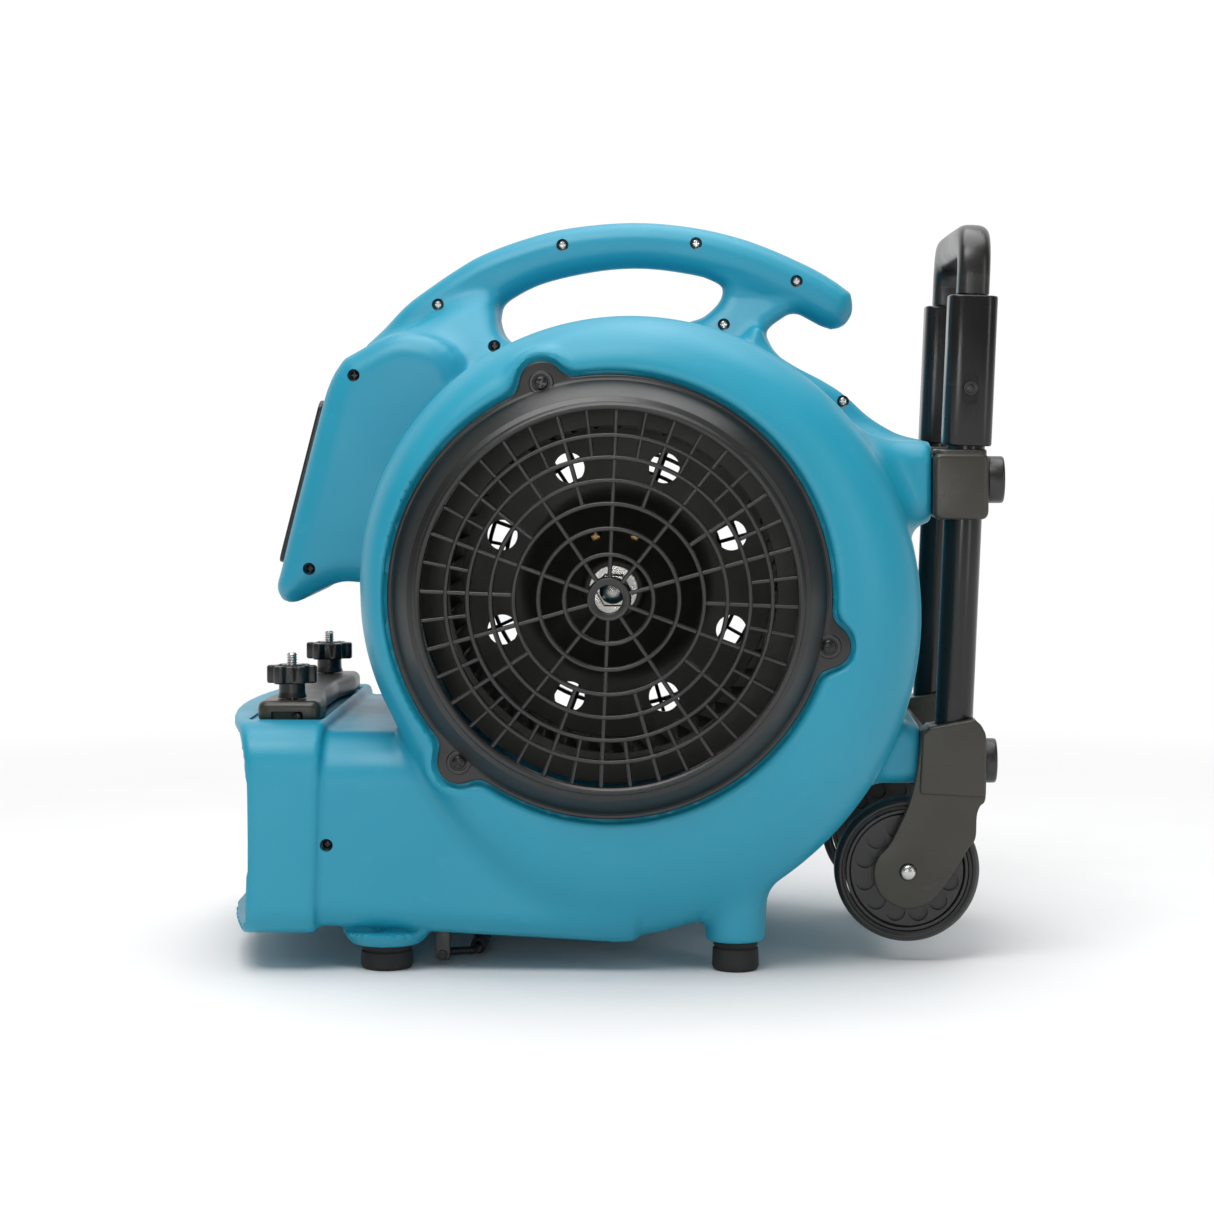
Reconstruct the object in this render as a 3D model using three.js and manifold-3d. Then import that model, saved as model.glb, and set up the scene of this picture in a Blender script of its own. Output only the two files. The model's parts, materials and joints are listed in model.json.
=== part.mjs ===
// Centrifugal air mover: a moulded scroll blower with a carry handle, a carpet
// clamp on its outlet, a telescopic pull handle and two wheels.
// Millimetres, +Z up. The outlet points along -X and the fan axis is parallel to Y.
// The origin is on the floor below the middle of the whole object: the pieces are drawn about
// a nearby plane and the whole group is moved there at the end.
import * as THREE from 'three';
import { mergeVertices } from 'three/addons/utils/BufferGeometryUtils.js';
import Module from 'manifold-3d';

const wasm = await Module();
wasm.setup();

// ---------------------------------------------------------------- driving dimensions
const GAP = 0.3;                 // clearance between pieces that touch
const WALL = 3.5;                // wall of the moulded shells

const FAN_X = -6;                // fan axis
const FAN_Z = 257;
const INLET_R = 138;             // hole in each side of the scroll
const RIM_R = 151;               // inner edge of the round ring about each inlet
const RING_Y = 187;              // half width over the rings
const SEAT_Y = 180;              // half width over the seats of the inlet grilles
const RING_ROUND = 48;           // how far the ring's rounded edge runs along Y
const SCROLL_SIDES = 28;

const DUCT = { halfY: 168, low: 25, high: 162, corner: 24, front: -196, back: FAN_X };
const LIP = { halfY: 173, low: 24, high: 166, corner: 24, front: -279, back: -192 };
const LIP_BOW = 25;              // how far the mouth's middle stands ahead of its sides

const HOUSING_HALF_Y = 90;       // control housing
const NECK_HALF_Y = 52;          // between the housing and the carry handle
const HANDLE_HALF_Y = 18;        // carry handle
const BOSS_HALF_Y = 115;         // rear bosses that hold the brackets
const UPPER_BOSS = { face: 213, low: 305, high: 360 };
const LOWER_BOSS = { face: 206, low: 124, high: 165 };
const CAP_FACE = 263;            // rear face of the upper bracket's caps

const GRILLE_PLANE = 202;        // outer face of the round lattice, along Y
const GRILLE_RINGS = [14, 52, 92, 127];
const GRILLE_SPOKES = [10, 10, 20];
const LUG_ANGLES = [107.6, -12.4, -132.4];
const LUG_R = 149.5;

const IMPELLER_R = 136;
const BLADE_ROOT_R = 112;
const CAGE_LENGTH = 92;          // each half of the wheel, along Y
const BLADE_COUNT = 18;
const SHAFT_R = 8;
const MOTOR_R = 62;

const TUBE_FOOT_X = 223.7;       // where the tubes' line meets the floor
const TUBE_Y = 105;
const TUBE_LEAN = THREE.MathUtils.degToRad(2.1);
const OUTER_TUBE_R = 13;
const INNER_TUBE_R = 10.9;
const SLEEVE = { low: 357.5, high: 460.3, half: 16.75 };
const BUTTON_HEIGHT = 397;

const WHEEL_X = 197.8;
const WHEEL_Z = 64.5;
const WHEEL_R = 50;
const WHEEL_Y = 104;
const WHEEL_HALF = 11;
const AXLE_R = 5.6;
const ARM_Y = 117;               // inner face of the wheel arms
const ARM_THICK = 4.5;

const CLAMP_X = -229;
const CLAMP_KNOB_Y = 105;
const CLAMP = { low: LIP.high + GAP, high: 182, halfY: 126 };

const FRONT_FOOT_X = -160;
const REAR_FOOT_X = 79;
const FOOT_Y = 140;
const STAND = { x: -122, z: 8, reach: 22, rod: 2.8, halfY: 122 };

// ---------------------------------------------------------------- geometry helpers
const PLAIN = { curveSegments: 8, bevelEnabled: false };

function outward(geometry) {
  const p = geometry.attributes.position;
  const index = geometry.index.array;
  const [a, b, c] = [new THREE.Vector3(), new THREE.Vector3(), new THREE.Vector3()];
  let volume = 0;
  for (let i = 0; i < index.length; i += 3) {
    a.fromBufferAttribute(p, index[i]);
    b.fromBufferAttribute(p, index[i + 1]);
    c.fromBufferAttribute(p, index[i + 2]);
    volume += a.dot(b.cross(c));
  }
  if (volume < 0) {
    for (let i = 0; i < index.length; i += 3) {
      [index[i], index[i + 1]] = [index[i + 1], index[i]];
    }
  }
  return geometry;
}

// Shared vertices, no triangles without area, faces pointing out.
function closed(geometry) {
  const bare = new THREE.BufferGeometry();
  bare.setAttribute('position', geometry.attributes.position.clone());
  bare.setIndex(geometry.index ? geometry.index.clone() : null);
  const merged = mergeVertices(bare, 1e-3);
  const kept = [];
  const index = merged.index.array;
  for (let i = 0; i < index.length; i += 3) {
    const [a, b, c] = [index[i], index[i + 1], index[i + 2]];
    if (a !== b && b !== c && a !== c) kept.push(a, b, c);
  }
  merged.setIndex(new THREE.BufferAttribute(new Uint32Array(kept), 1));
  return outward(merged);
}

function solid(geometry) {
  const whole = closed(geometry);
  return new wasm.Manifold(new wasm.Mesh({
    numProp: 3,
    vertProperties: new Float32Array(whole.attributes.position.array),
    triVerts: new Uint32Array(whole.index.array),
  }));
}

function geometryOf(manifold) {
  const mesh = manifold.getMesh();
  const geometry = new THREE.BufferGeometry();
  geometry.setAttribute('position', new THREE.BufferAttribute(new Float32Array(mesh.vertProperties), 3));
  geometry.setIndex(new THREE.BufferAttribute(new Uint32Array(mesh.triVerts), 1));
  return geometry;
}

const join = (...solids) => solids.reduce((sum, next) => sum.add(next));
const cut = (body, ...tools) => tools.reduce((rest, tool) => rest.subtract(tool), body);

function farCopy(geometry) {
  const copy = closed(geometry);
  copy.scale(1, -1, 1);
  return outward(copy);
}

const vec2 = ([a, b]) => new THREE.Vector2(a, b);

// Outlines and holes all run counter-clockwise.
function polygon(points) {
  const corners = points.map(vec2);
  return new THREE.Shape(THREE.ShapeUtils.isClockWise(corners) ? corners.reverse() : corners);
}

function circle(x, y, radius) {
  return new THREE.Shape().absarc(x, y, radius, 0, 2 * Math.PI, false);
}

function roundRect(x0, y0, x1, y1, radius) {
  const shape = new THREE.Shape();
  const half = Math.PI / 2;
  shape.absarc(x1 - radius, y0 + radius, radius, -half, 0, false);
  shape.absarc(x1 - radius, y1 - radius, radius, 0, half, false);
  shape.absarc(x0 + radius, y1 - radius, radius, half, 2 * half, false);
  shape.absarc(x0 + radius, y0 + radius, radius, 2 * half, 3 * half, false);
  return shape;
}

function extrude(shape, length, { bevel = 0, steps = 2, curve = 8 } = {}) {
  const geometry = new THREE.ExtrudeGeometry(shape, {
    depth: length - 2 * bevel,
    curveSegments: curve,
    bevelEnabled: bevel > 0,
    bevelThickness: bevel,
    bevelSize: bevel,
    bevelOffset: -bevel,
    bevelSegments: steps,
  });
  return geometry.translate(0, 0, bevel);
}

// An outline in the Y-Z, X-Z or X-Y plane, run from one place to another along the third axis.
function alongX(shape, low, high, options) {
  const basis = new THREE.Matrix4().set(0, 0, 1, low, 1, 0, 0, 0, 0, 1, 0, 0, 0, 0, 0, 1);
  return extrude(shape, high - low, options).applyMatrix4(basis);
}

function alongY(shape, low, high, options) {
  const basis = new THREE.Matrix4().set(1, 0, 0, 0, 0, 0, -1, high, 0, 1, 0, 0, 0, 0, 0, 1);
  return extrude(shape, high - low, options).applyMatrix4(basis);
}

function alongZ(shape, low, high, options) {
  return extrude(shape, high - low, options).translate(0, 0, low);
}

// A turned piece: pairs of radius and place along the axis.
function turnedY(profile, x, z, sides = 24) {
  return new THREE.LatheGeometry(profile.map(vec2), sides).translate(x, 0, z);
}

function turnedZ(profile, x, y, sides = 24) {
  return new THREE.LatheGeometry(profile.map(vec2), sides).rotateX(Math.PI / 2).translate(x, y, 0);
}

function turnedX(profile, y, z, sides = 24) {
  return new THREE.LatheGeometry(profile.map(vec2), sides).rotateZ(-Math.PI / 2).translate(0, y, z);
}

// A piece drawn upright at X = 0 is set on the leaning line of the handle tubes.
const leaning = (geometry) => geometry.rotateY(TUBE_LEAN).translate(TUBE_FOOT_X, 0, 0);

const box = (x0, x1, y0, y1, z0, z1) => new THREE.BoxGeometry(x1 - x0, y1 - y0, z1 - z0)
  .translate((x0 + x1) / 2, (y0 + y1) / 2, (z0 + z1) / 2);

// ---------------------------------------------------------------- the moulded shell
// Radius of the scroll, by the angle turned over the top from straight forward.
function scrollRadius(turn) {
  const full = 1.5 * Math.PI;
  const grown = (angle) => 170.5 + 9.6 * angle + 0.92 * angle * angle;
  if (turn <= full) return grown(turn);
  const fade = THREE.MathUtils.smoothstep(turn, full - 0.1, full + 1.1);
  return grown(full) + (grown(0) - grown(full)) * fade;
}

// The scroll is a turned body whose outer part is stretched out to the scroll's radius.
function scroll(inset) {
  const stretch = 100;
  const side = [[0, SEAT_Y], [RIM_R - 0.5, SEAT_Y], [RIM_R - 0.5, RING_Y - 1]];
  if (inset > 0) side.splice(0, 3, [0, SEAT_Y - inset]);
  const arcSteps = inset > 0 ? 2 : 3;
  for (let i = 0; i <= arcSteps; i += 1) {
    const angle = (i / arcSteps) * (Math.PI / 2);
    const across = 0.12 + 0.88 * Math.sin(angle);
    const place = RING_Y - RING_ROUND * (1 - Math.cos(angle));
    side.push([RIM_R + stretch * across, Math.min(place, inset > 0 ? SEAT_Y : RING_Y) - inset]);
  }
  const profile = [...side.map(([r, y]) => [r, -y]), ...side.reverse()];
  const geometry = new THREE.LatheGeometry(profile.map(vec2), SCROLL_SIDES);
  const p = geometry.attributes.position;
  for (let i = 0; i < p.count; i += 1) {
    const radius = Math.hypot(p.getX(i), p.getZ(i));
    if (radius <= RIM_R) continue;
    const turn = (Math.atan2(p.getX(i), p.getZ(i)) + 2.5 * Math.PI) % (2 * Math.PI);
    const limit = scrollRadius(turn) - inset;
    const wanted = RIM_R + (limit - RIM_R) * ((radius - RIM_R) / stretch);
    p.setX(i, p.getX(i) * (wanted / radius));
    p.setZ(i, p.getZ(i) * (wanted / radius));
  }
  return solid(geometry.translate(FAN_X, 0, FAN_Z));
}

function duct(inset) {
  const run = ({ halfY, low, high, corner, front, back }) => solid(alongX(
    roundRect(-halfY + inset, low + inset, halfY - inset, high - inset, corner - inset),
    front - 2 * inset, back - 2 * inset, { curve: 3 }));
  return join(run(DUCT), run(LIP));
}

// Everything ahead of the bowed front of the mouth.
function mouthCut() {
  const bow = new THREE.Shape();
  bow.moveTo(LIP.front + LIP_BOW, -LIP.halfY);
  bow.quadraticCurveTo(LIP.front - LIP_BOW, 0, LIP.front + LIP_BOW, LIP.halfY);
  bow.lineTo(LIP.front + LIP_BOW, LIP.halfY + 20);
  bow.lineTo(LIP.front - 40, LIP.halfY + 20);
  bow.lineTo(LIP.front - 40, -LIP.halfY - 20);
  bow.lineTo(LIP.front + LIP_BOW, -LIP.halfY - 20);
  return solid(alongZ(bow, -10, 230, { curve: 10 }));
}

const HOUSING_OUTLINE = [
  [-120, 300], [-160, 262], [-200, 262], [-229, 248], [-241, 252], [-243, 262],
  [-238, 279], [-210, 386], [-204, 404], [-192, 418], [-150, 440], [-110, 400],
];
const NECK_OUTLINE = [
  [-203, 405], [-196, 422], [-166, 443], [-140, 462], [-104, 480], [-90, 470], [-96, 446],
  [-84, 430], [-60, 400], [-150, 380],
];
const HANDLE_OUTER = [
  [-180, 433], [-140, 468], [-104, 493], [-42, 512.5], [4, 516.5], [48, 513], [89.5, 503],
  [131, 485.5], [157, 468],
];
const HANDLE_INNER = [
  [151, 441], [122, 454], [104, 441], [98, 430], [60, 420], [-6, 400], [-84, 400], [-150, 390],
];
const WINDOW_OUTLINE = [
  [-91, 441], [-94, 450], [-60, 473], [-23, 481.5], [9, 484], [40, 481], [66, 473], [67, 458],
  [54, 447], [20, 450], [-30, 449],
];
const SPINE_OUTLINE = [
  [98, 434], [121, 412], [155, 393], [186, 362], [190, 340], [120, 330], [60, 400],
];

function shrunk(points, inset) {
  const clockwise = THREE.ShapeUtils.isClockWise(points.map(vec2));
  return points.map(([a, b], i) => {
    const before = vec2(points[(i + points.length - 1) % points.length]);
    const after = vec2(points[(i + 1) % points.length]);
    const run = after.sub(before).normalize();
    const inward = new THREE.Vector2(-run.y, run.x);
    if (clockwise) inward.negate();
    return [a + inward.x * inset, b + inward.y * inset];
  });
}

function handleArch(inset) {
  const rearEnd = [[163, 457], [160, 446]];
  const outline = polygon(shrunk([...HANDLE_OUTER, ...rearEnd, ...HANDLE_INNER], inset));
  outline.holes.push(polygon(shrunk(WINDOW_OUTLINE, -inset)));
  const half = HANDLE_HALF_Y - inset;
  return solid(alongY(outline, -half, half, inset ? PLAIN : { bevel: 9, steps: 2 }));
}

function slab(outline, halfY, inset, bevel) {
  const half = halfY - inset;
  return solid(alongY(polygon(shrunk(outline, inset)), -half, half, inset ? PLAIN : { bevel }));
}

function boss({ face, low, high }) {
  return solid(alongX(roundRect(-BOSS_HALF_Y, low, BOSS_HALF_Y, high, 12), 120, face, { curve: 3 }));
}

function shellBody() {
  const outerScroll = scroll(0);
  const hollowParts = (inset) => join(
    slab(HOUSING_OUTLINE, HOUSING_HALF_Y, inset, 10),
    slab(NECK_OUTLINE, NECK_HALF_Y, inset, 9),
    handleArch(inset),
  );
  const solidParts = join(slab(SPINE_OUTLINE, NECK_HALF_Y, 0, 8), boss(UPPER_BOSS), boss(LOWER_BOSS));
  const legs = [-FOOT_Y, FOOT_Y].flatMap((y) => [
    solid(turnedZ([[0, 17], [22, 17], [31, 22], [33, 29], [0, 40]], FRONT_FOOT_X, y, 12)),
    solid(turnedZ([[0, 20], [19, 20], [21, 24], [23, 70], [0, 90]], REAR_FOOT_X, y, 12)),
  ]);
  const airway = join(scroll(WALL), duct(WALL));
  const cavities = cut(hollowParts(WALL), outerScroll, duct(0));
  const outside = join(outerScroll, duct(0), hollowParts(0), solidParts, ...legs);
  const inlet = solid(alongY(circle(FAN_X, FAN_Z, INLET_R), -220, 220, { curve: 14 }));
  const lugSeats = LUG_ANGLES.flatMap((angle) => {
    const [x, z] = polar(LUG_R, angle);
    return [-1, 1].map((side) => solid(alongY(circle(x, z, 16.5), side > 0 ? SEAT_Y : -220,
      side > 0 ? 220 : -SEAT_Y, { curve: 5 })));
  });
  const clampStudHoles = [-CLAMP_KNOB_Y, CLAMP_KNOB_Y].map((y) => solid(
    alongZ(circle(CLAMP_X, y, 4.4), 140, 200, { curve: 6 })));
  return cut(outside, airway, cavities, inlet, mouthCut(), ...lugSeats, ...clampStudHoles, panelSeat());
}

function polar(radius, degrees) {
  const angle = THREE.MathUtils.degToRad(degrees);
  return [FAN_X + radius * Math.cos(angle), FAN_Z + radius * Math.sin(angle)];
}

// ---------------------------------------------------------------- inlet grilles
// The lattice's windows lie between neighbouring rings and spokes.
function latticeShape() {
  const bar = 3.6;
  const shape = circle(FAN_X, FAN_Z, GRILLE_RINGS.at(-1) + 1.2);
  GRILLE_SPOKES.forEach((count, i) => {
    const inner = GRILLE_RINGS[i] + bar / 2;
    const outer = GRILLE_RINGS[i + 1] - bar / 2;
    for (let k = 0; k < count; k += 1) {
      const start = 87.7 + (360 / count) * k;
      const end = start + 360 / count;
      const edge = (radius, angle, sign) => polar(radius, angle + sign * THREE.MathUtils.radToDeg(bar / 2 / radius));
      const middle = (start + end) / 2;
      const points = [edge(inner, start, 1), edge(outer, start, 1)];
      if (count < 20) points.push(polar(outer, middle));
      points.push(edge(outer, end, -1), edge(inner, end, -1));
      shape.holes.push(polygon(points));
    }
  });
  shape.holes.push(circle(FAN_X, FAN_Z, 9));
  return shape;
}

function inletGrille() {
  const flange = circle(FAN_X, FAN_Z, RIM_R - 2.5);
  const lugs = LUG_ANGLES.map((angle) => {
    const [x, z] = polar(LUG_R, angle);
    return solid(alongY(circle(x, z, 14.5), -SEAT_Y - 5, -SEAT_Y - GAP, { curve: 5 }));
  });
  const holes = LUG_ANGLES.map((angle) => {
    const [x, z] = polar(LUG_R, angle);
    return solid(alongY(circle(x, z, 3), -220, -170, { curve: 4 }));
  });
  const plate = solid(alongY(flange, -SEAT_Y - 5, -SEAT_Y - GAP, { curve: 14 }));
  const bezel = solid(turnedY([[0, -GRILLE_PLANE - 1], [129, -GRILLE_PLANE - 1], [132, -GRILLE_PLANE + 2],
    [137, -SEAT_Y - 2], [0, -SEAT_Y - 2]], FAN_X, FAN_Z, 28));
  const throat = solid(turnedY([[0, -GRILLE_PLANE - 9], [126.5, -GRILLE_PLANE - 9], [126.5, -GRILLE_PLANE],
    [133, -SEAT_Y + 5], [0, -SEAT_Y + 5]], FAN_X, FAN_Z, 28));
  const lattice = solid(alongY(latticeShape(), -GRILLE_PLANE, -GRILLE_PLANE + 5, { curve: 14 }));
  const rim = cut(join(plate, ...lugs, bezel), throat, ...holes);
  return geometryOf(join(rim, lattice));
}

// ---------------------------------------------------------------- outlet grille
function outletGrille() {
  const inset = WALL + 0.6;
  const [halfY, low, high] = [LIP.halfY - inset, LIP.low + inset, LIP.high - inset];
  const plate = solid(alongX(roundRect(-halfY, low, halfY, high, LIP.corner - inset), -238, -233, { curve: 3 }));
  const [columns, rows, bar] = [10, 2, 4];
  const margin = 12;
  const pitchY = (2 * (halfY - margin)) / columns;
  const pitchZ = (high - low - 2 * margin) / rows;
  const windows = [];
  for (let i = 0; i < columns; i += 1) {
    for (let j = 0; j < rows; j += 1) {
      const y0 = -halfY + margin + pitchY * i + bar / 2;
      const z0 = low + margin + pitchZ * j + bar / 2;
      windows.push(solid(box(-250, -220, y0, y0 + pitchY - bar, z0, z0 + pitchZ - bar)));
    }
  }
  return geometryOf(cut(plate, ...windows));
}

// ---------------------------------------------------------------- controls
// The panel lies on the sloping front of the housing; its pieces are drawn flat,
// looking along -X, and then tilted into place.
const PANEL = { x: -225.5, z: 331, length: 118, halfY: 66, thick: 3.2 };
const PANEL_TILT = Math.atan2(28, 107);

function onPanel(geometry) {
  return geometry.rotateY(PANEL_TILT).translate(PANEL.x, 0, PANEL.z);
}

function panelPlate(growth, front, back) {
  const half = PANEL.length / 2 + growth;
  return onPanel(alongX(roundRect(-PANEL.halfY - growth, -half, PANEL.halfY + growth, half, 8),
    front, back, { curve: 3 }));
}

function panelSeat() {
  const opening = onPanel(box(-12, 24, -50, 50, -46, 46));
  return join(solid(panelPlate(GAP, -20, 1)), solid(opening));
}

function controlPanel() {
  const holes = [[8, -30, 5], [38, 22, 5.2], [40, -24, 7.5]].map(([y, z, radius]) => solid(
    onPanel(alongX(circle(y, z, radius), -12, 12, { curve: 6 }))));
  return geometryOf(cut(solid(panelPlate(0, -PANEL.thick, 1 - GAP)), ...holes));
}

function speedKnob() {
  const grip = solid(turnedX([[0, -10], [16, -10], [17.5, -8], [18, -PANEL.thick - GAP],
    [0, -PANEL.thick - GAP]], 8, -30, 20));
  const spindle = solid(turnedX([[0, -8], [4, -8], [4, 12], [0, 12]], 8, -30, 12));
  const pointer = solid(box(-11.5, -8, 5.5, 10.5, -46, -14));
  return onPanel(geometryOf(join(grip, spindle, pointer)));
}

const breakerButton = () => onPanel(turnedX([[0, -7], [3.6, -7], [4.4, -6], [4.4, 9], [0, 9]], 38, 22, 14));

const cableGland = () => onPanel(turnedX([[0, -PANEL.thick - 11], [5.5, -PANEL.thick - 11],
  [7.5, -PANEL.thick - 6], [9.5, -PANEL.thick - 5], [9.5, -PANEL.thick - GAP], [6.9, -PANEL.thick - GAP],
  [6.9, 10], [0, 10]], 40, -24, 16));

// ---------------------------------------------------------------- carpet clamp
function clampBar() {
  const { halfY, low, high } = CLAMP;
  const half = 22;
  const waist = 16;
  const outline = new THREE.Shape();
  outline.moveTo(CLAMP_X - half, -halfY + 6);
  outline.quadraticCurveTo(CLAMP_X - half, -halfY, CLAMP_X - half + 6, -halfY);
  outline.lineTo(CLAMP_X + half - 6, -halfY);
  outline.quadraticCurveTo(CLAMP_X + half, -halfY, CLAMP_X + half, -halfY + 6);
  outline.lineTo(CLAMP_X + half, -halfY + 36);
  outline.quadraticCurveTo(CLAMP_X + waist - 4, 0, CLAMP_X + half, halfY - 36);
  outline.lineTo(CLAMP_X + half, halfY - 6);
  outline.quadraticCurveTo(CLAMP_X + half, halfY, CLAMP_X + half - 6, halfY);
  outline.lineTo(CLAMP_X - half + 6, halfY);
  outline.quadraticCurveTo(CLAMP_X - half, halfY, CLAMP_X - half, halfY - 6);
  outline.lineTo(CLAMP_X - half, halfY - 36);
  outline.quadraticCurveTo(CLAMP_X - waist + 4, 0, CLAMP_X - half, -halfY + 36);
  for (const y of [-CLAMP_KNOB_Y, CLAMP_KNOB_Y]) outline.holes.push(circle(CLAMP_X, y, 5));
  return alongZ(outline, low, high, { bevel: 2, steps: 1, curve: 5 });
}

function clampStud() {
  return turnedZ([[0, 150], [4, 150], [4, 212.5], [3, 214], [0, 214]], CLAMP_X, -CLAMP_KNOB_Y, 12);
}

function clampKnob() {
  const lobes = 6;
  const head = new THREE.Shape();
  const steps = lobes * 4;
  for (let i = 0; i <= steps; i += 1) {
    const angle = (i / steps) * 2 * Math.PI;
    const radius = 16 + 1.8 * Math.cos(lobes * angle);
    const [x, y] = [CLAMP_X + radius * Math.cos(angle), -CLAMP_KNOB_Y + radius * Math.sin(angle)];
    if (i === 0) head.moveTo(x, y);
    else head.lineTo(x, y);
  }
  const neck = turnedZ([[0, CLAMP.high + GAP], [11.5, CLAMP.high + GAP], [9.5, 194], [0, 194]],
    CLAMP_X, -CLAMP_KNOB_Y, 20);
  const bore = alongZ(circle(CLAMP_X, -CLAMP_KNOB_Y, 4.4), 170, 220, { curve: 6 });
  return geometryOf(cut(join(solid(alongZ(head, 192, 205, { bevel: 2, steps: 1 })), solid(neck)), solid(bore)));
}

// ---------------------------------------------------------------- feet and kickstand
const foot = (x, top, radius) => turnedZ([[0, 0], [radius - 3, 0], [radius, 3], [radius, top - GAP],
  [0, top - GAP]], x, -FOOT_Y, 20);

function kickstandBail() {
  const { x, z, reach, rod, halfY } = STAND;
  const corner = 9;
  const points = [
    [x, -halfY - 14, z], [x, -halfY - 6, z], [x + 2, -halfY, z], [x + 8, -halfY + 1, z],
    [x + reach - corner, -halfY + 2, z], [x + reach - 2, -halfY + 4, z], [x + reach, -halfY + corner, z],
    [x + reach, -halfY + 2 * corner, z], [x + reach, -30, z],
  ];
  const other = points.map(([a, b, c]) => [a, -b, c]).reverse();
  const path = new THREE.CatmullRomCurve3([...points, ...other].map((p) => new THREE.Vector3(...p)),
    false, 'centripetal');
  return new THREE.ExtrudeGeometry(circle(0, 0, rod), { steps: 26, curveSegments: 3, extrudePath: path });
}

function kickstandSleeve() {
  const { x, z, reach, rod, halfY } = STAND;
  const start = -halfY + 20;
  return turnedY([[rod + 0.4, start], [5.5, start], [5.5, start + 52], [rod + 0.4, start + 52],
    [rod + 0.4, start]], x + reach, z, 14);
}

function kickstandClip() {
  const { x, z, rod, halfY } = STAND;
  const y0 = -halfY - 14;
  const block = solid(box(x - 5, x + 5, y0, y0 + 6.5, z - 4.5, DUCT.low - GAP));
  const bore = solid(alongY(circle(x, z, rod + 0.5), y0 - 5, y0 + 20, { curve: 6 }));
  return geometryOf(cut(block, bore));
}

// ---------------------------------------------------------------- brackets and handle tubes
const tubeHole = (y, radius) => solid(leaning(turnedZ([[0, 60], [radius, 60], [radius, 420], [0, 420]], 0, y, 16)));

function bracketCap(z, x0, x1, radius) {
  return turnedX([[0, x0], [radius, x0], [radius, x1 - 3], [radius - 2.5, x1], [0, x1]], -100, z, 16);
}

function upperBracket() {
  const outline = roundRect(UPPER_BOSS.face + GAP, 307, 251.5, 355, 5);
  const sides = [-1, 1].map((side) => solid(alongY(outline, side > 0 ? 86 : -122, side > 0 ? 122 : -86,
    { bevel: 3, steps: 1, curve: 2 })));
  const web = solid(box(UPPER_BOSS.face + GAP, UPPER_BOSS.face + 8, -90, 90, 312, 350));
  return geometryOf(cut(join(...sides, web), tubeHole(-TUBE_Y, 13.4), tubeHole(TUBE_Y, 13.4)));
}

const ARM_OUTLINE = [
  [206.3, 161], [203, 133], [199, 115], [185, 84], [175, 69], [175, 57], [181, 46], [190, 41],
  [200, 39], [212, 42.5], [223, 54], [239, 81], [244, 88], [245, 106], [251, 115], [251, 155],
  [249, 163], [243, 171], [212, 165],
];
const ARM_BLOCK_OUTLINE = [
  [206.3, 161], [206.3, 120], [251, 120], [251, 155], [249, 163], [243, 171], [212, 165],
];

function wheelBracket() {
  const side = (sign) => {
    const span = (low, high) => (sign < 0 ? [-high, -low] : [low, high]);
    const arm = solid(alongY(polygon(ARM_OUTLINE), ...span(ARM_Y, ARM_Y + ARM_THICK), { bevel: 1, steps: 1 }));
    const block = solid(alongY(polygon(ARM_BLOCK_OUTLINE), ...span(88, ARM_Y + 2), PLAIN));
    return join(arm, block);
  };
  const web = solid(box(206.3, 214, -92, 92, 122, 160));
  const seats = [-1, 1].map((sign) => solid(leaning(turnedZ([[0, 126], [13.4, 126], [13.4, 300], [0, 300]],
    0, sign * TUBE_Y, 16))));
  const axleHole = solid(alongY(circle(WHEEL_X, WHEEL_Z, AXLE_R + GAP), -140, 140, { curve: 6 }));
  return geometryOf(cut(join(side(-1), side(1), web), ...seats, axleHole));
}

function outerTube() {
  const profile = [[11.5, 126.5], [OUTER_TUBE_R, 126.5], [OUTER_TUBE_R, 450], [11.5, 450], [11.5, 126.5]];
  return leaning(turnedZ(profile, 0, -TUBE_Y, 16));
}

function lockSleeve() {
  const { low, high, half } = SLEEVE;
  const body = solid(alongZ(roundRect(-half, -TUBE_Y - half, half, -TUBE_Y + half, 12), low, high,
    { bevel: 1.5, steps: 1, curve: 2 }));
  const tube = solid(turnedZ([[0, 300], [13.4, 300], [13.4, 450.6], [0, 450.6]], 0, -TUBE_Y, 16));
  const leg = solid(turnedZ([[0, 400], [11.6, 400], [11.6, 500], [0, 500]], 0, -TUBE_Y, 16));
  const slot = solid(alongY(roundRect(-6, BUTTON_HEIGHT - 11, 6, BUTTON_HEIGHT + 11, 5.9),
    -TUBE_Y - 30, -TUBE_Y - 14, { curve: 4 }));
  return leaning(geometryOf(cut(body, tube, leg, slot)));
}

function lockButton() {
  const y = -TUBE_Y - SLEEVE.half;
  return leaning(turnedY([[0, y - 1.8], [4, y - 1.8], [5, y - 0.8], [5, y + 0.4], [0, y + 0.4]], 0, BUTTON_HEIGHT, 16));
}

function innerTube() {
  const profile = [[9.4, 180], [INNER_TUBE_R, 180], [INNER_TUBE_R, 461], [9.4, 461], [9.4, 180]];
  return leaning(turnedZ(profile, 0, -TUBE_Y, 16));
}

function grip() {
  const top = 499;
  const legs = [-TUBE_Y, TUBE_Y];
  const [y0, y1] = legs;
  const path = new THREE.CatmullRomCurve3([
    [0, y0, 461.3], [0, y0, 475], [0, y0 + 3, 487], [0, y0 + 12, 496], [0, y0 + 26, top], [0, 0, top],
    [0, y1 - 26, top], [0, y1 - 12, 496], [0, y1 - 3, 487], [0, y1, 475], [0, y1, 461.3],
  ].map((p) => new THREE.Vector3(...p)), false, 'centripetal');
  const section = roundRect(-11, -11, 11, 11, 6);
  return leaning(new THREE.ExtrudeGeometry(section, { steps: 22, curveSegments: 1, extrudePath: path }));
}

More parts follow.
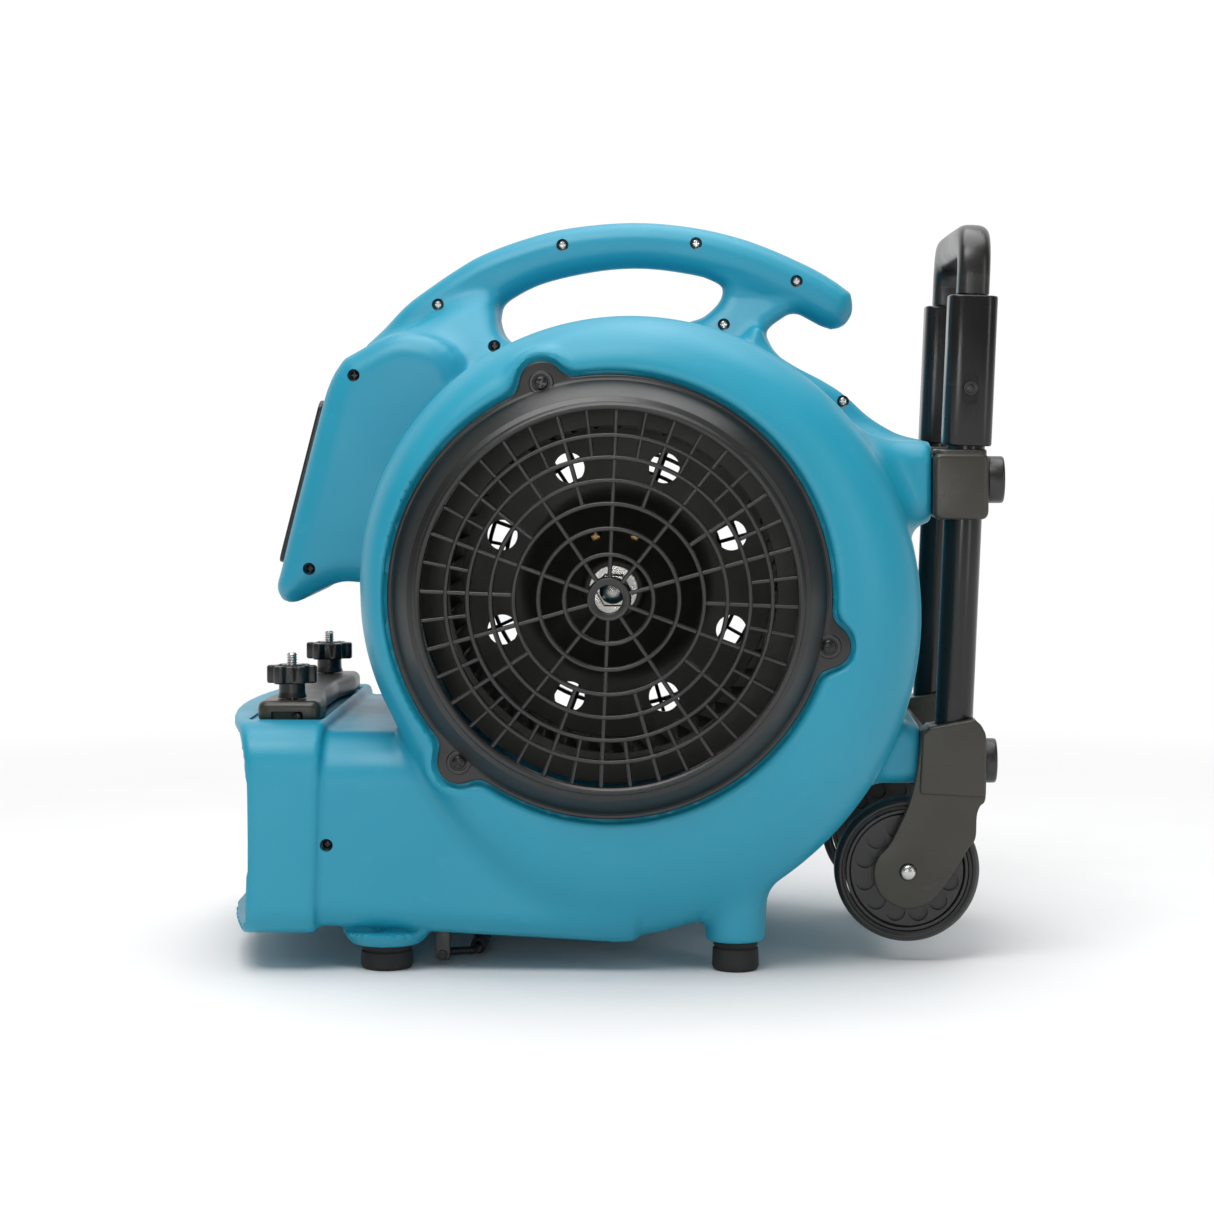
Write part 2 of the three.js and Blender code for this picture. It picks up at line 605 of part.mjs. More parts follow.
// ---------------------------------------------------------------- wheels
function wheelHub() {
  const out = -WHEEL_Y - WHEEL_HALF + 1;
  const inn = -WHEEL_Y + WHEEL_HALF - 1;
  return turnedY([[6, out - 0.5], [17, out - 0.5], [20, out + 3], [38, out + 3], [42.4, out],
    [42.4, inn], [38, inn - 6], [14, inn - 6], [6, inn], [6, out - 0.5]], WHEEL_X, WHEEL_Z, 20);
}

function tyre() {
  const [out, inn] = [-WHEEL_Y - WHEEL_HALF, -WHEEL_Y + WHEEL_HALF];
  return turnedY([[43, out], [47, out], [WHEEL_R, out + 4], [WHEEL_R, inn - 4], [47, inn],
    [43, inn], [43, out]], WHEEL_X, WHEEL_Z, 24);
}

const axle = () => turnedY([[0, -ARM_Y - ARM_THICK - 1], [AXLE_R, -ARM_Y - ARM_THICK - 1],
  [AXLE_R, ARM_Y + ARM_THICK + 1], [0, ARM_Y + ARM_THICK + 1]], WHEEL_X, WHEEL_Z, 14);

const axleCap = () => turnedY([[0, -ARM_Y - ARM_THICK - 4.4], [3.5, -ARM_Y - ARM_THICK - 3.6],
  [5.4, -ARM_Y - ARM_THICK - 1.9], [5.4, -ARM_Y - ARM_THICK - 1 - GAP], [0, -ARM_Y - ARM_THICK - 1 - GAP]],
WHEEL_X, WHEEL_Z, 16);

// ---------------------------------------------------------------- impeller and motor
const HUB_FACE = -88;

function impellerDisc() {
  const profile = [[SHAFT_R + 0.2, HUB_FACE], [20, HUB_FACE], [22, -58], [66, -1.5], [IMPELLER_R, -1.5],
    [IMPELLER_R, 1.5], [64, 1.5], [20, -52], [SHAFT_R + 0.2, -52], [SHAFT_R + 0.2, HUB_FACE]];
  const disc = solid(turnedY(profile, FAN_X, FAN_Z, 24));
  const holes = Array.from({ length: 8 }, (_, i) => {
    const [x, z] = polar(90, 22.5 + 45 * i);
    return solid(alongY(circle(x, z, 12), -30, 30, { curve: 3 }));
  });
  return geometryOf(cut(disc, ...holes));
}

function bladeCage() {
  const [start, end] = [-1.5 - GAP, -CAGE_LENGTH];
  const ring = (y0, y1, inner) => solid(turnedY([[inner, y0], [IMPELLER_R, y0], [IMPELLER_R, y1],
    [inner, y1], [inner, y0]], FAN_X, FAN_Z, 24));
  const blades = Array.from({ length: BLADE_COUNT }, (_, i) => {
    const blade = box(-1.2, 1.2, end + 1, start, BLADE_ROOT_R + 1, IMPELLER_R - 1);
    const middle = (BLADE_ROOT_R + IMPELLER_R) / 2;
    blade.translate(0, 0, -middle).rotateY(-0.5).translate(0, 0, middle);
    return solid(blade.rotateY((i * 2 * Math.PI) / BLADE_COUNT).translate(FAN_X, 0, FAN_Z));
  });
  return geometryOf(join(ring(start - 3, start, BLADE_ROOT_R), ring(end, end + 5, BLADE_ROOT_R + 2), ...blades));
}

const motorShaft = () => turnedY([[0, -99], [SHAFT_R, -99], [SHAFT_R, 118], [0, 118]], FAN_X, FAN_Z, 16);

const hubWasher = () => turnedY([[SHAFT_R + 0.4, HUB_FACE - 3], [17.3, HUB_FACE - 3], [17.3, HUB_FACE - GAP],
  [SHAFT_R + 0.4, HUB_FACE - GAP], [SHAFT_R + 0.4, HUB_FACE - 3]], FAN_X, FAN_Z, 20);

function shaftNut() {
  const hexagon = solid(turnedY([[0, -100], [13, -100], [14, -98.5], [14, HUB_FACE - 3 - GAP],
    [0, HUB_FACE - 3 - GAP]], FAN_X, FAN_Z, 6));
  const dome = solid(turnedY([[0, -108], [6, -106], [10, -101], [10, -99], [0, -99]], FAN_X, FAN_Z, 16));
  const bore = solid(turnedY([[0, -99.3], [SHAFT_R + 0.4, -99.3], [SHAFT_R + 0.4, -80], [0, -80]], FAN_X, FAN_Z, 16));
  return geometryOf(cut(join(hexagon, dome), bore));
}

const motorBody = () => turnedY([[50, 20], [MOTOR_R, 20], [MOTOR_R, 110], [50, 110], [50, 20]], FAN_X, FAN_Z, 20);

const motorBellNear = () => turnedY([[9, -38], [30, -38], [40, -22], [56, 6], [MOTOR_R, 8], [MOTOR_R, 20 - GAP],
  [9, 20 - GAP], [9, -38]], FAN_X, FAN_Z, 20);

const motorBellFar = () => turnedY([[0, 120], [9, 120], [9, 110 + GAP], [MOTOR_R, 110 + GAP], [MOTOR_R, 124],
  [52, 132], [0, 132]], FAN_X, FAN_Z, 20);

function motorBracket() {
  const plate = solid(turnedY([[0, 132 + GAP], [46, 132 + GAP], [46, 137], [0, 137]], FAN_X, FAN_Z, 24));
  const arms = [30, 150, 270].flatMap((degrees) => {
    const [x, z] = polar(146, degrees);
    const turn = THREE.MathUtils.degToRad(degrees);
    const bar = box(30, 152, 133, 137, -9, 9).rotateY(-turn).translate(FAN_X, 0, FAN_Z);
    const post = alongY(circle(x, z, 8), 134, SEAT_Y - WALL - 2 * GAP, { curve: 4 });
    return [solid(bar), solid(post)];
  });
  return geometryOf(join(plate, ...arms));
}

const capacitor = () => turnedY([[0, -42], [17, -42], [17.5, -41], [17.5, 36], [6, 38], [0, 38]], -184, 350, 16);

// ---------------------------------------------------------------- materials and assembly
const material = (color, roughness, metalness = 0) => new THREE.MeshStandardMaterial({ color, roughness, metalness });
const BLUE = material(0x3a9cbc, 0.42);
const BLACK = material(0x262625, 0.5);
const PANEL_BLACK = material(0x1c1c1e, 0.4);
const RUBBER = material(0x1b1b1b, 0.85);
const TUBE_BLACK = material(0x2a2a2b, 0.38, 0.4);
const STEEL = material(0xb9bab8, 0.3, 1);
const MOTOR_PAINT = material(0x3b3a33, 0.6, 0.2);
const IMPELLER_GREY = material(0x31312f, 0.55);
const ALUMINIUM = material(0xa9abac, 0.4, 1);

const airMover = new THREE.Group();
airMover.position.x = -(LIP.front + CAP_FACE) / 2;

function place(name, geometry, finish) {
  const mesh = new THREE.Mesh(closed(geometry), finish);
  mesh.name = name;
  airMover.add(mesh);
}

function placePair(name, geometry, finish) {
  place(`${name}_near`, geometry, finish);
  place(`${name}_far`, farCopy(geometry), finish);
}

const shell = shellBody();
const halfSpace = (low, high) => solid(box(-400, 400, low, high, -50, 700));
place('shell_near', geometryOf(shell.intersect(halfSpace(-400, -GAP / 2))), BLUE);
place('shell_far', geometryOf(shell.intersect(halfSpace(GAP / 2, 400))), BLUE);
placePair('inlet_grille', inletGrille(), BLACK);
place('outlet_grille', outletGrille(), BLACK);

place('control_panel', controlPanel(), PANEL_BLACK);
place('speed_knob', speedKnob(), BLACK);
place('breaker_button', breakerButton(), RUBBER);
place('cable_gland', cableGland(), BLACK);
place('capacitor', capacitor(), ALUMINIUM);

place('clamp_bar', clampBar(), BLACK);
placePair('clamp_stud', clampStud(), STEEL);
placePair('clamp_knob', clampKnob(), BLACK);

placePair('foot_front', foot(FRONT_FOOT_X, 17, 18), RUBBER);
placePair('foot_rear', foot(REAR_FOOT_X, 20, 16), RUBBER);
place('kickstand_bail', kickstandBail(), STEEL);
placePair('kickstand_sleeve', kickstandSleeve(), RUBBER);
placePair('kickstand_clip', kickstandClip(), BLACK);

place('upper_bracket', upperBracket(), BLACK);
place('wheel_bracket', wheelBracket(), BLACK);
placePair('upper_cap', bracketCap(334, 251.5 + GAP, CAP_FACE, 16.2), BLACK);
placePair('lower_cap', bracketCap(139.5, 251 + GAP, 259.5, 15.5), BLACK);
placePair('outer_tube', outerTube(), TUBE_BLACK);
placePair('lock_sleeve', lockSleeve(), TUBE_BLACK);
placePair('lock_button', lockButton(), BLACK);
placePair('inner_tube', innerTube(), TUBE_BLACK);
place('grip', grip(), BLACK);

place('axle', axle(), STEEL);
placePair('axle_cap', axleCap(), STEEL);
placePair('wheel_hub', wheelHub(), BLACK);
placePair('tyre', tyre(), RUBBER);

place('impeller_disc', impellerDisc(), IMPELLER_GREY);
placePair('blade_cage', bladeCage(), IMPELLER_GREY);
place('hub_washer', hubWasher(), STEEL);
place('shaft_nut', shaftNut(), STEEL);
place('motor_shaft', motorShaft(), STEEL);
place('motor_body', motorBody(), MOTOR_PAINT);
place('motor_bell_near', motorBellNear(), MOTOR_PAINT);
place('motor_bell_far', motorBellFar(), MOTOR_PAINT);
place('motor_bracket', motorBracket(), BLACK);

export default airMover;
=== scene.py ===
import json
from math import acos, atan2, copysign, cos, exp, hypot, pi, radians, sin, tan, tanh

import bmesh
import bpy
import numpy as np
from mathutils import Matrix, Vector

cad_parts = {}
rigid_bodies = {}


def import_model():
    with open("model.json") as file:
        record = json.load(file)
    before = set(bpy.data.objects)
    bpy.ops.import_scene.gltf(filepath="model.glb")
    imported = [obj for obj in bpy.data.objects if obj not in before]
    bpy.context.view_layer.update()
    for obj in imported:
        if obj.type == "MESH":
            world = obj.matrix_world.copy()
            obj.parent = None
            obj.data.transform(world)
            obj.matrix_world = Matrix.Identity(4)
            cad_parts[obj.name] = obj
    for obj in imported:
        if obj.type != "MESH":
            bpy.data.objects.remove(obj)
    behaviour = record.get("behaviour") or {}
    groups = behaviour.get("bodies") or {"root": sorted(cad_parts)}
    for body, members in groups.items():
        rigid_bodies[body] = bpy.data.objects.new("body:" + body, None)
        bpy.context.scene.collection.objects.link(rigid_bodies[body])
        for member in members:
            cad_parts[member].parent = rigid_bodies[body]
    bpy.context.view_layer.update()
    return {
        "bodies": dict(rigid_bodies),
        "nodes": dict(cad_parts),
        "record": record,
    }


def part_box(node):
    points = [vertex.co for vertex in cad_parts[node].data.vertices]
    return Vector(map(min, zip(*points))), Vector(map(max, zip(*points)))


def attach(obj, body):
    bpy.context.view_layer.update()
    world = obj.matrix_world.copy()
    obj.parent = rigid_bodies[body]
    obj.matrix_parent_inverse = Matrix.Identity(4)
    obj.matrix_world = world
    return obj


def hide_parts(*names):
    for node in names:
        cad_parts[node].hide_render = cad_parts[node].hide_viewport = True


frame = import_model()

# ------------------------------------------------------------------ places, from the CAD model
# Shapes are drawn in millimetres about the CAD's drawing plane, then moved by SHIFT and scaled.


def middle(node):
    lo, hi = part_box(node)
    return Vector((a + b) * 500 for a, b in zip(lo, hi))


FAN_X, FAN_Z = -6.0, middle("hub_washer").z
SHIFT = middle("hub_washer").x - FAN_X
WHEEL_X, WHEEL_Z = middle("tyre_near").x - SHIFT, middle("tyre_near").z
WHEEL_Y = -middle("tyre_near").y
CLAMP_X, CLAMP_Y = middle("clamp_stud_near").x - SHIFT, -middle("clamp_stud_near").y
TUBE_Y = -middle("outer_tube_near").y
REAR_FOOT_X, FOOT_Y = middle("foot_rear_near").x - SHIFT, -middle("foot_rear_near").y
FRONT_FOOT_X = middle("foot_front_near").x - SHIFT
LEAN = radians(2.1)
TUBE_FOOT_X = 223.7
PANEL_TILT = atan2(28, 107)
LUGS = [107.6, -12.4, -132.4]
LUG_R = 149.5
IMPELLER_R, MOTOR_R, TUBE_HOLE_R = 135.6, 61.9, 13.4


def polar(radius, degrees):
    a = radians(degrees)
    return FAN_X + radius * cos(a), FAN_Z + radius * sin(a)


# ------------------------------------------------------------------ camera, floor and lights
scene = bpy.context.scene
camera = bpy.data.objects.new("camera", bpy.data.cameras.new("camera"))
SENSOR = 36
FOCAL_IN_FRAMES = 2970 / 1214  # the focal length, over the width of the picture
camera.data.sensor_width = SENSOR
camera.data.lens = FOCAL_IN_FRAMES * SENSOR
camera.data.clip_end = 50
camera.location = ((52 + SHIFT) / 1000, -2.155, 0.377)
camera.rotation_euler = (radians(90 - 3.66), 0, radians(1.732))
scene.collection.objects.link(camera)
scene.camera = camera
scene.view_settings.view_transform = "Standard"

world = bpy.data.worlds.new("studio")
world.use_nodes = True
studio = world.node_tree
facing = studio.nodes.new("ShaderNodeTexCoord")
split = studio.nodes.new("ShaderNodeSeparateXYZ")
studio.links.new(facing.outputs["Generated"], split.inputs["Vector"])
backdrop = studio.nodes.new("ShaderNodeMapRange")
for key, number in zip(("From Min", "From Max", "To Min", "To Max"), (0.1, 0.7, 0.20, 1.02)):
    backdrop.inputs[key].default_value = number
studio.links.new(split.outputs["Y"], backdrop.inputs["Value"])
studio.links.new(backdrop.outputs["Result"], studio.nodes["Background"].inputs["Strength"])
studio.nodes["Background"].inputs["Color"].default_value = (1, 1, 1, 1)
scene.world = world


def area_light(name, place, aim, size, power, colour=(1, 1, 1)):
    data = bpy.data.lights.new(name, "AREA")
    data.shape = "RECTANGLE"
    data.size, data.size_y = size
    data.energy = power
    data.color = colour
    light = bpy.data.objects.new(name, data)
    light.location = place
    light.rotation_euler = (Vector(aim) - Vector(place)).to_track_quat("-Z", "Y").to_euler()
    scene.collection.objects.link(light)


area_light("key", (-0.5, -1.3, 2.1), (0, 0, 0.25), (1.5, 0.9), 27)
area_light("top", (0.1, 0.1, 2.2), (0, 0, 0.2), (1.8, 1.8), 32)
area_light("side", (1.6, -1.7, 0.8), (0, 0, 0.25), (0.3, 1.6), 5)
area_light("front", (-0.2, -2.6, 0.5), (0, 0, 0.25), (0.4, 0.4), 5)


# ------------------------------------------------------------------ materials
def shader(name):
    material = bpy.data.materials.new(name)
    material.use_nodes = True
    return material, material.node_tree.nodes, material.node_tree.links


def noise(nodes, links, place, scale, detail=3.0, rough=0.5, stretch=None):
    node = nodes.new("ShaderNodeTexNoise")
    node.inputs["Scale"].default_value = scale
    node.inputs["Detail"].default_value = detail
    node.inputs["Roughness"].default_value = rough
    if stretch:
        mapping = nodes.new("ShaderNodeMapping")
        mapping.inputs["Scale"].default_value = stretch
        links.new(place.outputs["Object"], mapping.inputs["Vector"])
        links.new(mapping.outputs["Vector"], node.inputs["Vector"])
    else:
        links.new(place.outputs["Object"], node.inputs["Vector"])
    return node.outputs["Fac"]


def ranged(nodes, links, value, low, high, to_low, to_high):
    node = nodes.new("ShaderNodeMapRange")
    for key, number in zip(("From Min", "From Max", "To Min", "To Max"), (low, high, to_low, to_high)):
        node.inputs[key].default_value = number
    links.new(value, node.inputs["Value"])
    return node.outputs["Result"]


def mixed(nodes, links, factor, first, second):
    node = nodes.new("ShaderNodeMix")
    node.data_type = "RGBA"
    links.new(factor, node.inputs["Factor"])
    for socket, colour in zip(node.inputs[6:8], (first, second)):
        if isinstance(colour, tuple):
            socket.default_value = (*colour, 1)
        else:
            links.new(colour, socket)
    return node.outputs[2]


def surface(name, colour, shade, worn, rough, grain, strength, metal=0.0, brushed=None, coat=0.0):
    """Base colour drifts from colour to shade, scuffs go towards worn; rough is (low, high)."""
    material, nodes, links = shader(name)
    bsdf = nodes["Principled BSDF"]
    place = nodes.new("ShaderNodeTexCoord")
    drift = ranged(nodes, links, noise(nodes, links, place, 9, 3), 0.35, 0.65, 0, 1)
    speck = noise(nodes, links, place, grain * 0.45, 2)
    scuff = noise(nodes, links, place, 34, 7, 0.72, (1, 1, 2.6))
    scuffed = ranged(nodes, links, scuff, 0.60, 0.74, 0, 0.5)
    base = mixed(nodes, links, drift, colour, shade)
    fine = mixed(nodes, links, ranged(nodes, links, speck, 0.3, 0.7, 0, 0.35), base, shade)
    links.new(mixed(nodes, links, scuffed, fine, worn), bsdf.inputs["Base Color"])
    smudge = noise(nodes, links, place, 21, 4)
    links.new(ranged(nodes, links, smudge, 0.3, 0.7, *rough), bsdf.inputs["Roughness"])
    bsdf.inputs["Metallic"].default_value = metal
    if coat:
        bsdf.inputs["Coat Weight"].default_value = coat
        bsdf.inputs["Coat Roughness"].default_value = 0.25
    bump = nodes.new("ShaderNodeBump")
    bump.inputs["Strength"].default_value = strength
    bump.inputs["Distance"].default_value = 0.0004
    links.new(noise(nodes, links, place, grain, 2, 0.55, brushed), bump.inputs["Height"])
    links.new(bump.outputs["Normal"], bsdf.inputs["Normal"])
    return material


# Base colour, its shade, the worn colour, roughness low and high, grain, bump, metal, brushing, coat.
LOOKS = {"shell_blue": ((0.014, 0.300, 0.435), (0.011, 0.278, 0.410), (0.035, 0.350, 0.480), (0.36, 0.46),
    1500, 0.16), "black_plastic": ((0.010, 0.0098, 0.0088), (0.007, 0.0068, 0.0062), (0.030, 0.029, 0.027),
    # The bracket and clamp black below is lighter and warmer than the other blacks: its olive tone is a
    # painted warm reflection.
    (0.28, 0.42), 1300, 0.22, 0.0, None, 0.25), "bracket_black_painted_sheen": ((0.040, 0.037, 0.027),
    (0.028, 0.026, 0.019), (0.075, 0.071, 0.056), (0.30, 0.42), 1100, 0.2),
    "panel_black": ((0.013, 0.013, 0.014), (0.009, 0.009, 0.010), (0.035, 0.035, 0.036), (0.28, 0.36),
    1800, 0.10), "rubber": ((0.016, 0.016, 0.016), (0.010, 0.010, 0.010), (0.050, 0.048, 0.045),
    (0.66, 0.82), 900, 0.35), "tyre": ((0.024, 0.023, 0.022), (0.015, 0.015, 0.014), (0.060, 0.057, 0.053),
    (0.42, 0.58), 1100, 0.25), "tube_black": ((0.009, 0.009, 0.009), (0.006, 0.006, 0.006),
    (0.030, 0.030, 0.030), (0.20, 0.32), 900, 0.10, 0.1, (1, 1, 0.06)),
    "kickstand_rod": ((0.018, 0.018, 0.018), (0.012, 0.012, 0.012), (0.11, 0.105, 0.10), (0.30, 0.42),
    1000, 0.12, 0.3), "steel": ((0.66, 0.65, 0.62), (0.52, 0.51, 0.49), (0.40, 0.38, 0.35), (0.20, 0.34),
    1600, 0.12, 1.0, (1, 8, 8)), "impeller_plastic": ((0.060, 0.057, 0.046), (0.044, 0.042, 0.034),
    (0.075, 0.072, 0.067), (0.42, 0.56), 1000, 0.2),
    "motor_paint": ((0.056, 0.053, 0.043), (0.040, 0.038, 0.031), (0.12, 0.11, 0.09), (0.48, 0.62), 800,
    0.3, 0.1), "aluminium": ((0.56, 0.57, 0.58), (0.48, 0.49, 0.50), (0.36, 0.36, 0.36), (0.26, 0.38),
    1200, 0.12, 1.0, (6, 1, 6)), "brass": ((0.36, 0.25, 0.11), (0.27, 0.18, 0.08), (0.18, 0.12, 0.06),
    (0.26, 0.38), 1400, 0.12, 1.0), "marking": ((0.62, 0.63, 0.64), (0.55, 0.56, 0.57), (0.44, 0.44, 0.44),
    (0.45, 0.55), 1400, 0.08), "floor": ((0.90, 0.90, 0.90), (0.88, 0.88, 0.88), (0.86, 0.86, 0.86),
    (0.70, 0.80), 300, 0.05),}
MATERIALS = {name: surface(name, *look) for name, look in LOOKS.items()}


# ------------------------------------------------------------------ mesh helpers, in millimetres
def smoothed(mesh, degrees):
    mesh.polygons.foreach_set("use_smooth", np.ones(len(mesh.polygons), bool))
    mesh.set_sharp_from_angle(angle=radians(degrees))


def outward(shape):
    bmesh.ops.recalc_face_normals(shape, faces=shape.faces)


def piece(shape, name, body, slot, nodes=(), angle=34, material=None):
    """Turns a bmesh in millimetres into a finished piece in metres."""
    outward(shape)
    shape.transform(Matrix.Scale(0.001, 4) @ Matrix.Translation((SHIFT, 0, 0)))
    mesh = bpy.data.meshes.new(name)
    shape.to_mesh(mesh)
    shape.free()
    smoothed(mesh, angle)
    mesh.materials.append(MATERIALS[material or slot])
    obj = bpy.data.objects.new(name, mesh)
    scene.collection.objects.link(obj)
    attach(obj, body)
    if nodes:
        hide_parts(*([nodes] if isinstance(nodes, str) else nodes))
    return obj


def merged(*shapes):
    whole = bmesh.new()
    for shape in shapes:
        mesh = bpy.data.meshes.new("part")
        shape.to_mesh(mesh)
        shape.free()
        whole.from_mesh(mesh)
        bpy.data.meshes.remove(mesh)
    return whole


def copied(shape, matrix=None):
    copy = shape.copy()
    if matrix is not None:
        copy.transform(matrix)
        if matrix.determinant() < 0:
            bmesh.ops.reverse_faces(copy, faces=copy.faces)
    return copy


MIRROR_Y = Matrix.Scale(-1, 4, (0, 1, 0))


def carved(shape, tool, operation="DIFFERENCE"):
    """One boolean of two closed shapes."""
    objects = []
    for part in (shape, tool):
        outward(part)
        mesh = bpy.data.meshes.new("part")
        part.to_mesh(mesh)
        part.free()
        objects.append(bpy.data.objects.new("part", mesh))
        scene.collection.objects.link(objects[-1])
    base, cutter = objects
    result = bmesh.new()
    for solver in ("MANIFOLD", "EXACT"):
        modifier = base.modifiers.new("cut", "BOOLEAN")
        modifier.operation, modifier.object, modifier.solver = operation, cutter, solver
        bpy.context.view_layer.update()
        result.from_object(base, bpy.context.evaluated_depsgraph_get())
        base.modifiers.clear()
        if len(result.faces) and len(result.faces) != len(base.data.polygons):
            break
        result.clear()
    for obj in objects:
        mesh = obj.data
        bpy.data.objects.remove(obj)
        bpy.data.meshes.remove(mesh)
    return result


def softened(shape, width, segments=3, angle=40):
    """Rounds every edge sharper than the angle."""
    limit = radians(angle)
    edges = [e for e in shape.edges if len(e.link_faces) == 2 and e.calc_face_angle(0) > limit]
    bmesh.ops.bevel(shape, geom=edges, offset=width, segments=segments, profile=0.5, affect="EDGES",
        clamp_overlap=True)
    return shape


def filleted(points, radius, steps=5, closed=True):
    """Rounds the corners of a polyline; radius is one number or one for each corner."""
    count = len(points)
    radii = radius if isinstance(radius, (list, tuple)) else [radius] * count
    out = []
    for i, (point, r) in enumerate(zip(points, radii)):
        here = Vector(point)
        if r <= 0 or (not closed and i in (0, count - 1)):
            out.append(tuple(here))
            continue
        before, after = Vector(points[i - 1]) - here, Vector(points[(i + 1) % count]) - here
        cosine = max(-1, min(1, before.normalized().dot(after.normalized())))
        half = acos(cosine) / 2
        if half > radians(88):
            out.append(tuple(here))
            continue
        reach = min(r / tan(half), 0.48 * before.length, 0.48 * after.length)
        a, b = here + before.normalized() * reach, here + after.normalized() * reach
        for k in range(steps + 1):
            t = k / steps
            out.append(tuple(a * (1 - t) ** 2 + here * 2 * t * (1 - t) + b * t ** 2))
    return out


def curved(points, closed=True, steps=6):
    """A smooth curve through the points."""
    count = len(points)
    vectors = [Vector(p) for p in points]
    spans = count if closed else count - 1
    out = []
    for i in range(spans):
        if closed:
            a, b, c, d = (vectors[(i + k) % count] for k in (-1, 0, 1, 2))
        else:
            a, b, c, d = vectors[max(i - 1, 0)], vectors[i], vectors[i + 1], vectors[min(i + 2, count - 1)]
        for k in range(steps):
            t = k / steps
            out.append(0.5 * ((2 * b) + (c - a) * t + (2 * a - 5 * b + 4 * c - d) * t * t
                    + (3 * b - a - 3 * c + d) * t ** 3))
    if not closed:
        out.append(vectors[-1])
    return [tuple(p) for p in out]


def wavy(centre, steps, radius_at):
    """A closed outline about a centre, its radius worked out from the angle."""
    angles = [2 * pi * k / steps for k in range(steps)]
    radii = [radius_at(a) for a in angles]
    return [(centre[0] + r * cos(a), centre[1] + r * sin(a)) for a, r in zip(angles, radii)]


def rectangle(x0, y0, x1, y1, radius=0, steps=5):
    return filleted([(x0, y0), (x1, y0), (x1, y1), (x0, y1)], radius, steps)


def prism(points, low, high, axis="Y", bevel=0.0, segments=3):
    """A straight run of one outline. The outline is in X-Z for Y, Y-Z for X and X-Y for Z."""
    set_point = {"Y": lambda p, h: (p[0], h, p[1]), "X": lambda p, h: (h, p[0], p[1]), "Z": lambda p,
        h: (p[0], p[1], h),}[axis]
    shape = bmesh.new()
    bottom = [shape.verts.new(set_point(p, low)) for p in points]
    top = [shape.verts.new(set_point(p, high)) for p in points]
    faces = [shape.faces.new(bottom), shape.faces.new(top[::-1])]
    for i in range(len(points)):
        j = (i + 1) % len(points)
        shape.faces.new((bottom[i], top[i], top[j], bottom[j]))
    outward(shape)
    if bevel:
        rims = {e for f in faces for e in f.edges}
        bmesh.ops.bevel(shape, geom=list(rims), offset=bevel, segments=segments, profile=0.5,
            affect="EDGES", clamp_overlap=True)
    return shape


def block(x0, x1, y0, y1, z0, z1, bevel=0.0, segments=3):
    shape = prism([(x0, y0), (x1, y0), (x1, y1), (x0, y1)], z0, z1, "Z")
    return softened(shape, bevel, segments) if bevel else shape


def turned(profile, axis="Y", centre=(0, 0), steps=64):
    """A turned shape from (radius, place) pairs: a closed ring, or open where both ends have radius 0."""
    set_point = {"Y": lambda r, h, a: (centre[0] + r * cos(a), h, centre[1] + r * sin(a)), "X": lambda r,
        h, a: (h, centre[0] + r * cos(a), centre[1] + r * sin(a)), "Z": lambda r, h,
        a: (centre[0] + r * cos(a), centre[1] + r * sin(a), h),}[axis]
    shape = bmesh.new()
    rings = []
    for r, h in profile:
        if r < 1e-6:
            rings.append([shape.verts.new(set_point(0, h, 0))])
        else:
            rings.append([shape.verts.new(set_point(r, h, 2 * pi * k / steps)) for k in range(steps)])
    pairs = list(zip(rings, rings[1:]))
    if len(rings[0]) > 1 and len(rings[-1]) > 1:
        pairs.append((rings[-1], rings[0]))
    for a, b in pairs:
        for k in range(steps):
            n = (k + 1) % steps
            if len(a) == 1 and len(b) == 1:
                continue
            if len(a) == 1:
                shape.faces.new((a[0], b[k], b[n]))
            elif len(b) == 1:
                shape.faces.new((a[k], b[0], a[n]))
            else:
                shape.faces.new((a[k], b[k], b[n], a[n]))
    outward(shape)
    return shape


def drill(radius, low, high, axis, centre, steps):
    """A plain round bar, for cutting a hole."""
    return turned([(0, low), (radius, low), (radius, high), (0, high)], axis, centre, steps)


def swept(path, section, closed=False):
    """One section, in points about its own centre, carried along a path of 3-D points."""
    points = [Vector(p) for p in path]
    count = len(points)
    shape = bmesh.new()
    rings = []
    up = None
    for i, point in enumerate(points):
        ahead = points[(i + 1) % count] if closed or i < count - 1 else point
        behind = points[i - 1] if closed or i > 0 else point
        along = (ahead - behind).normalized()
        if up is None:
            up = Vector((0, 0, 1)) if abs(along.z) < 0.9 else Vector((1, 0, 0))
        up = (up - along * up.dot(along)).normalized()
        side = along.cross(up)
        outline = section(i / (count - 1)) if callable(section) else section
        rings.append([shape.verts.new(point + side * a + up * b) for a, b in outline])
    size = len(rings[0])
    for a, b in zip(rings, rings[1:] + ([rings[0]] if closed else [])):
        for k in range(size):
            n = (k + 1) % size
            shape.faces.new((a[k], b[k], b[n], a[n]))
    if not closed:
        shape.faces.new(rings[0])
        shape.faces.new(rings[-1][::-1])
    outward(shape)
    return shape


def fan_turned(profile, steps=96):
    """Turned about the fan's axis."""
    return turned(profile, "Y", (FAN_X, FAN_Z), steps)


LEANING = Matrix.Translation((TUBE_FOOT_X, 0, 0)) @ Matrix.Rotation(LEAN, 4, "Y")
PANEL = Matrix.Translation((-225.5, 0, 331)) @ Matrix.Rotation(PANEL_TILT, 4, "Y")


def offset(x, y, z):
    return Matrix.Translation((x, y, z))


def spun(x, z, degrees):
    """Turned about Y, then carried to a place."""
    return offset(x, 0, z) @ Matrix.Rotation(-radians(degrees), 4, "Y")


def moved(shape, matrix):
    shape.transform(matrix)
    return shape


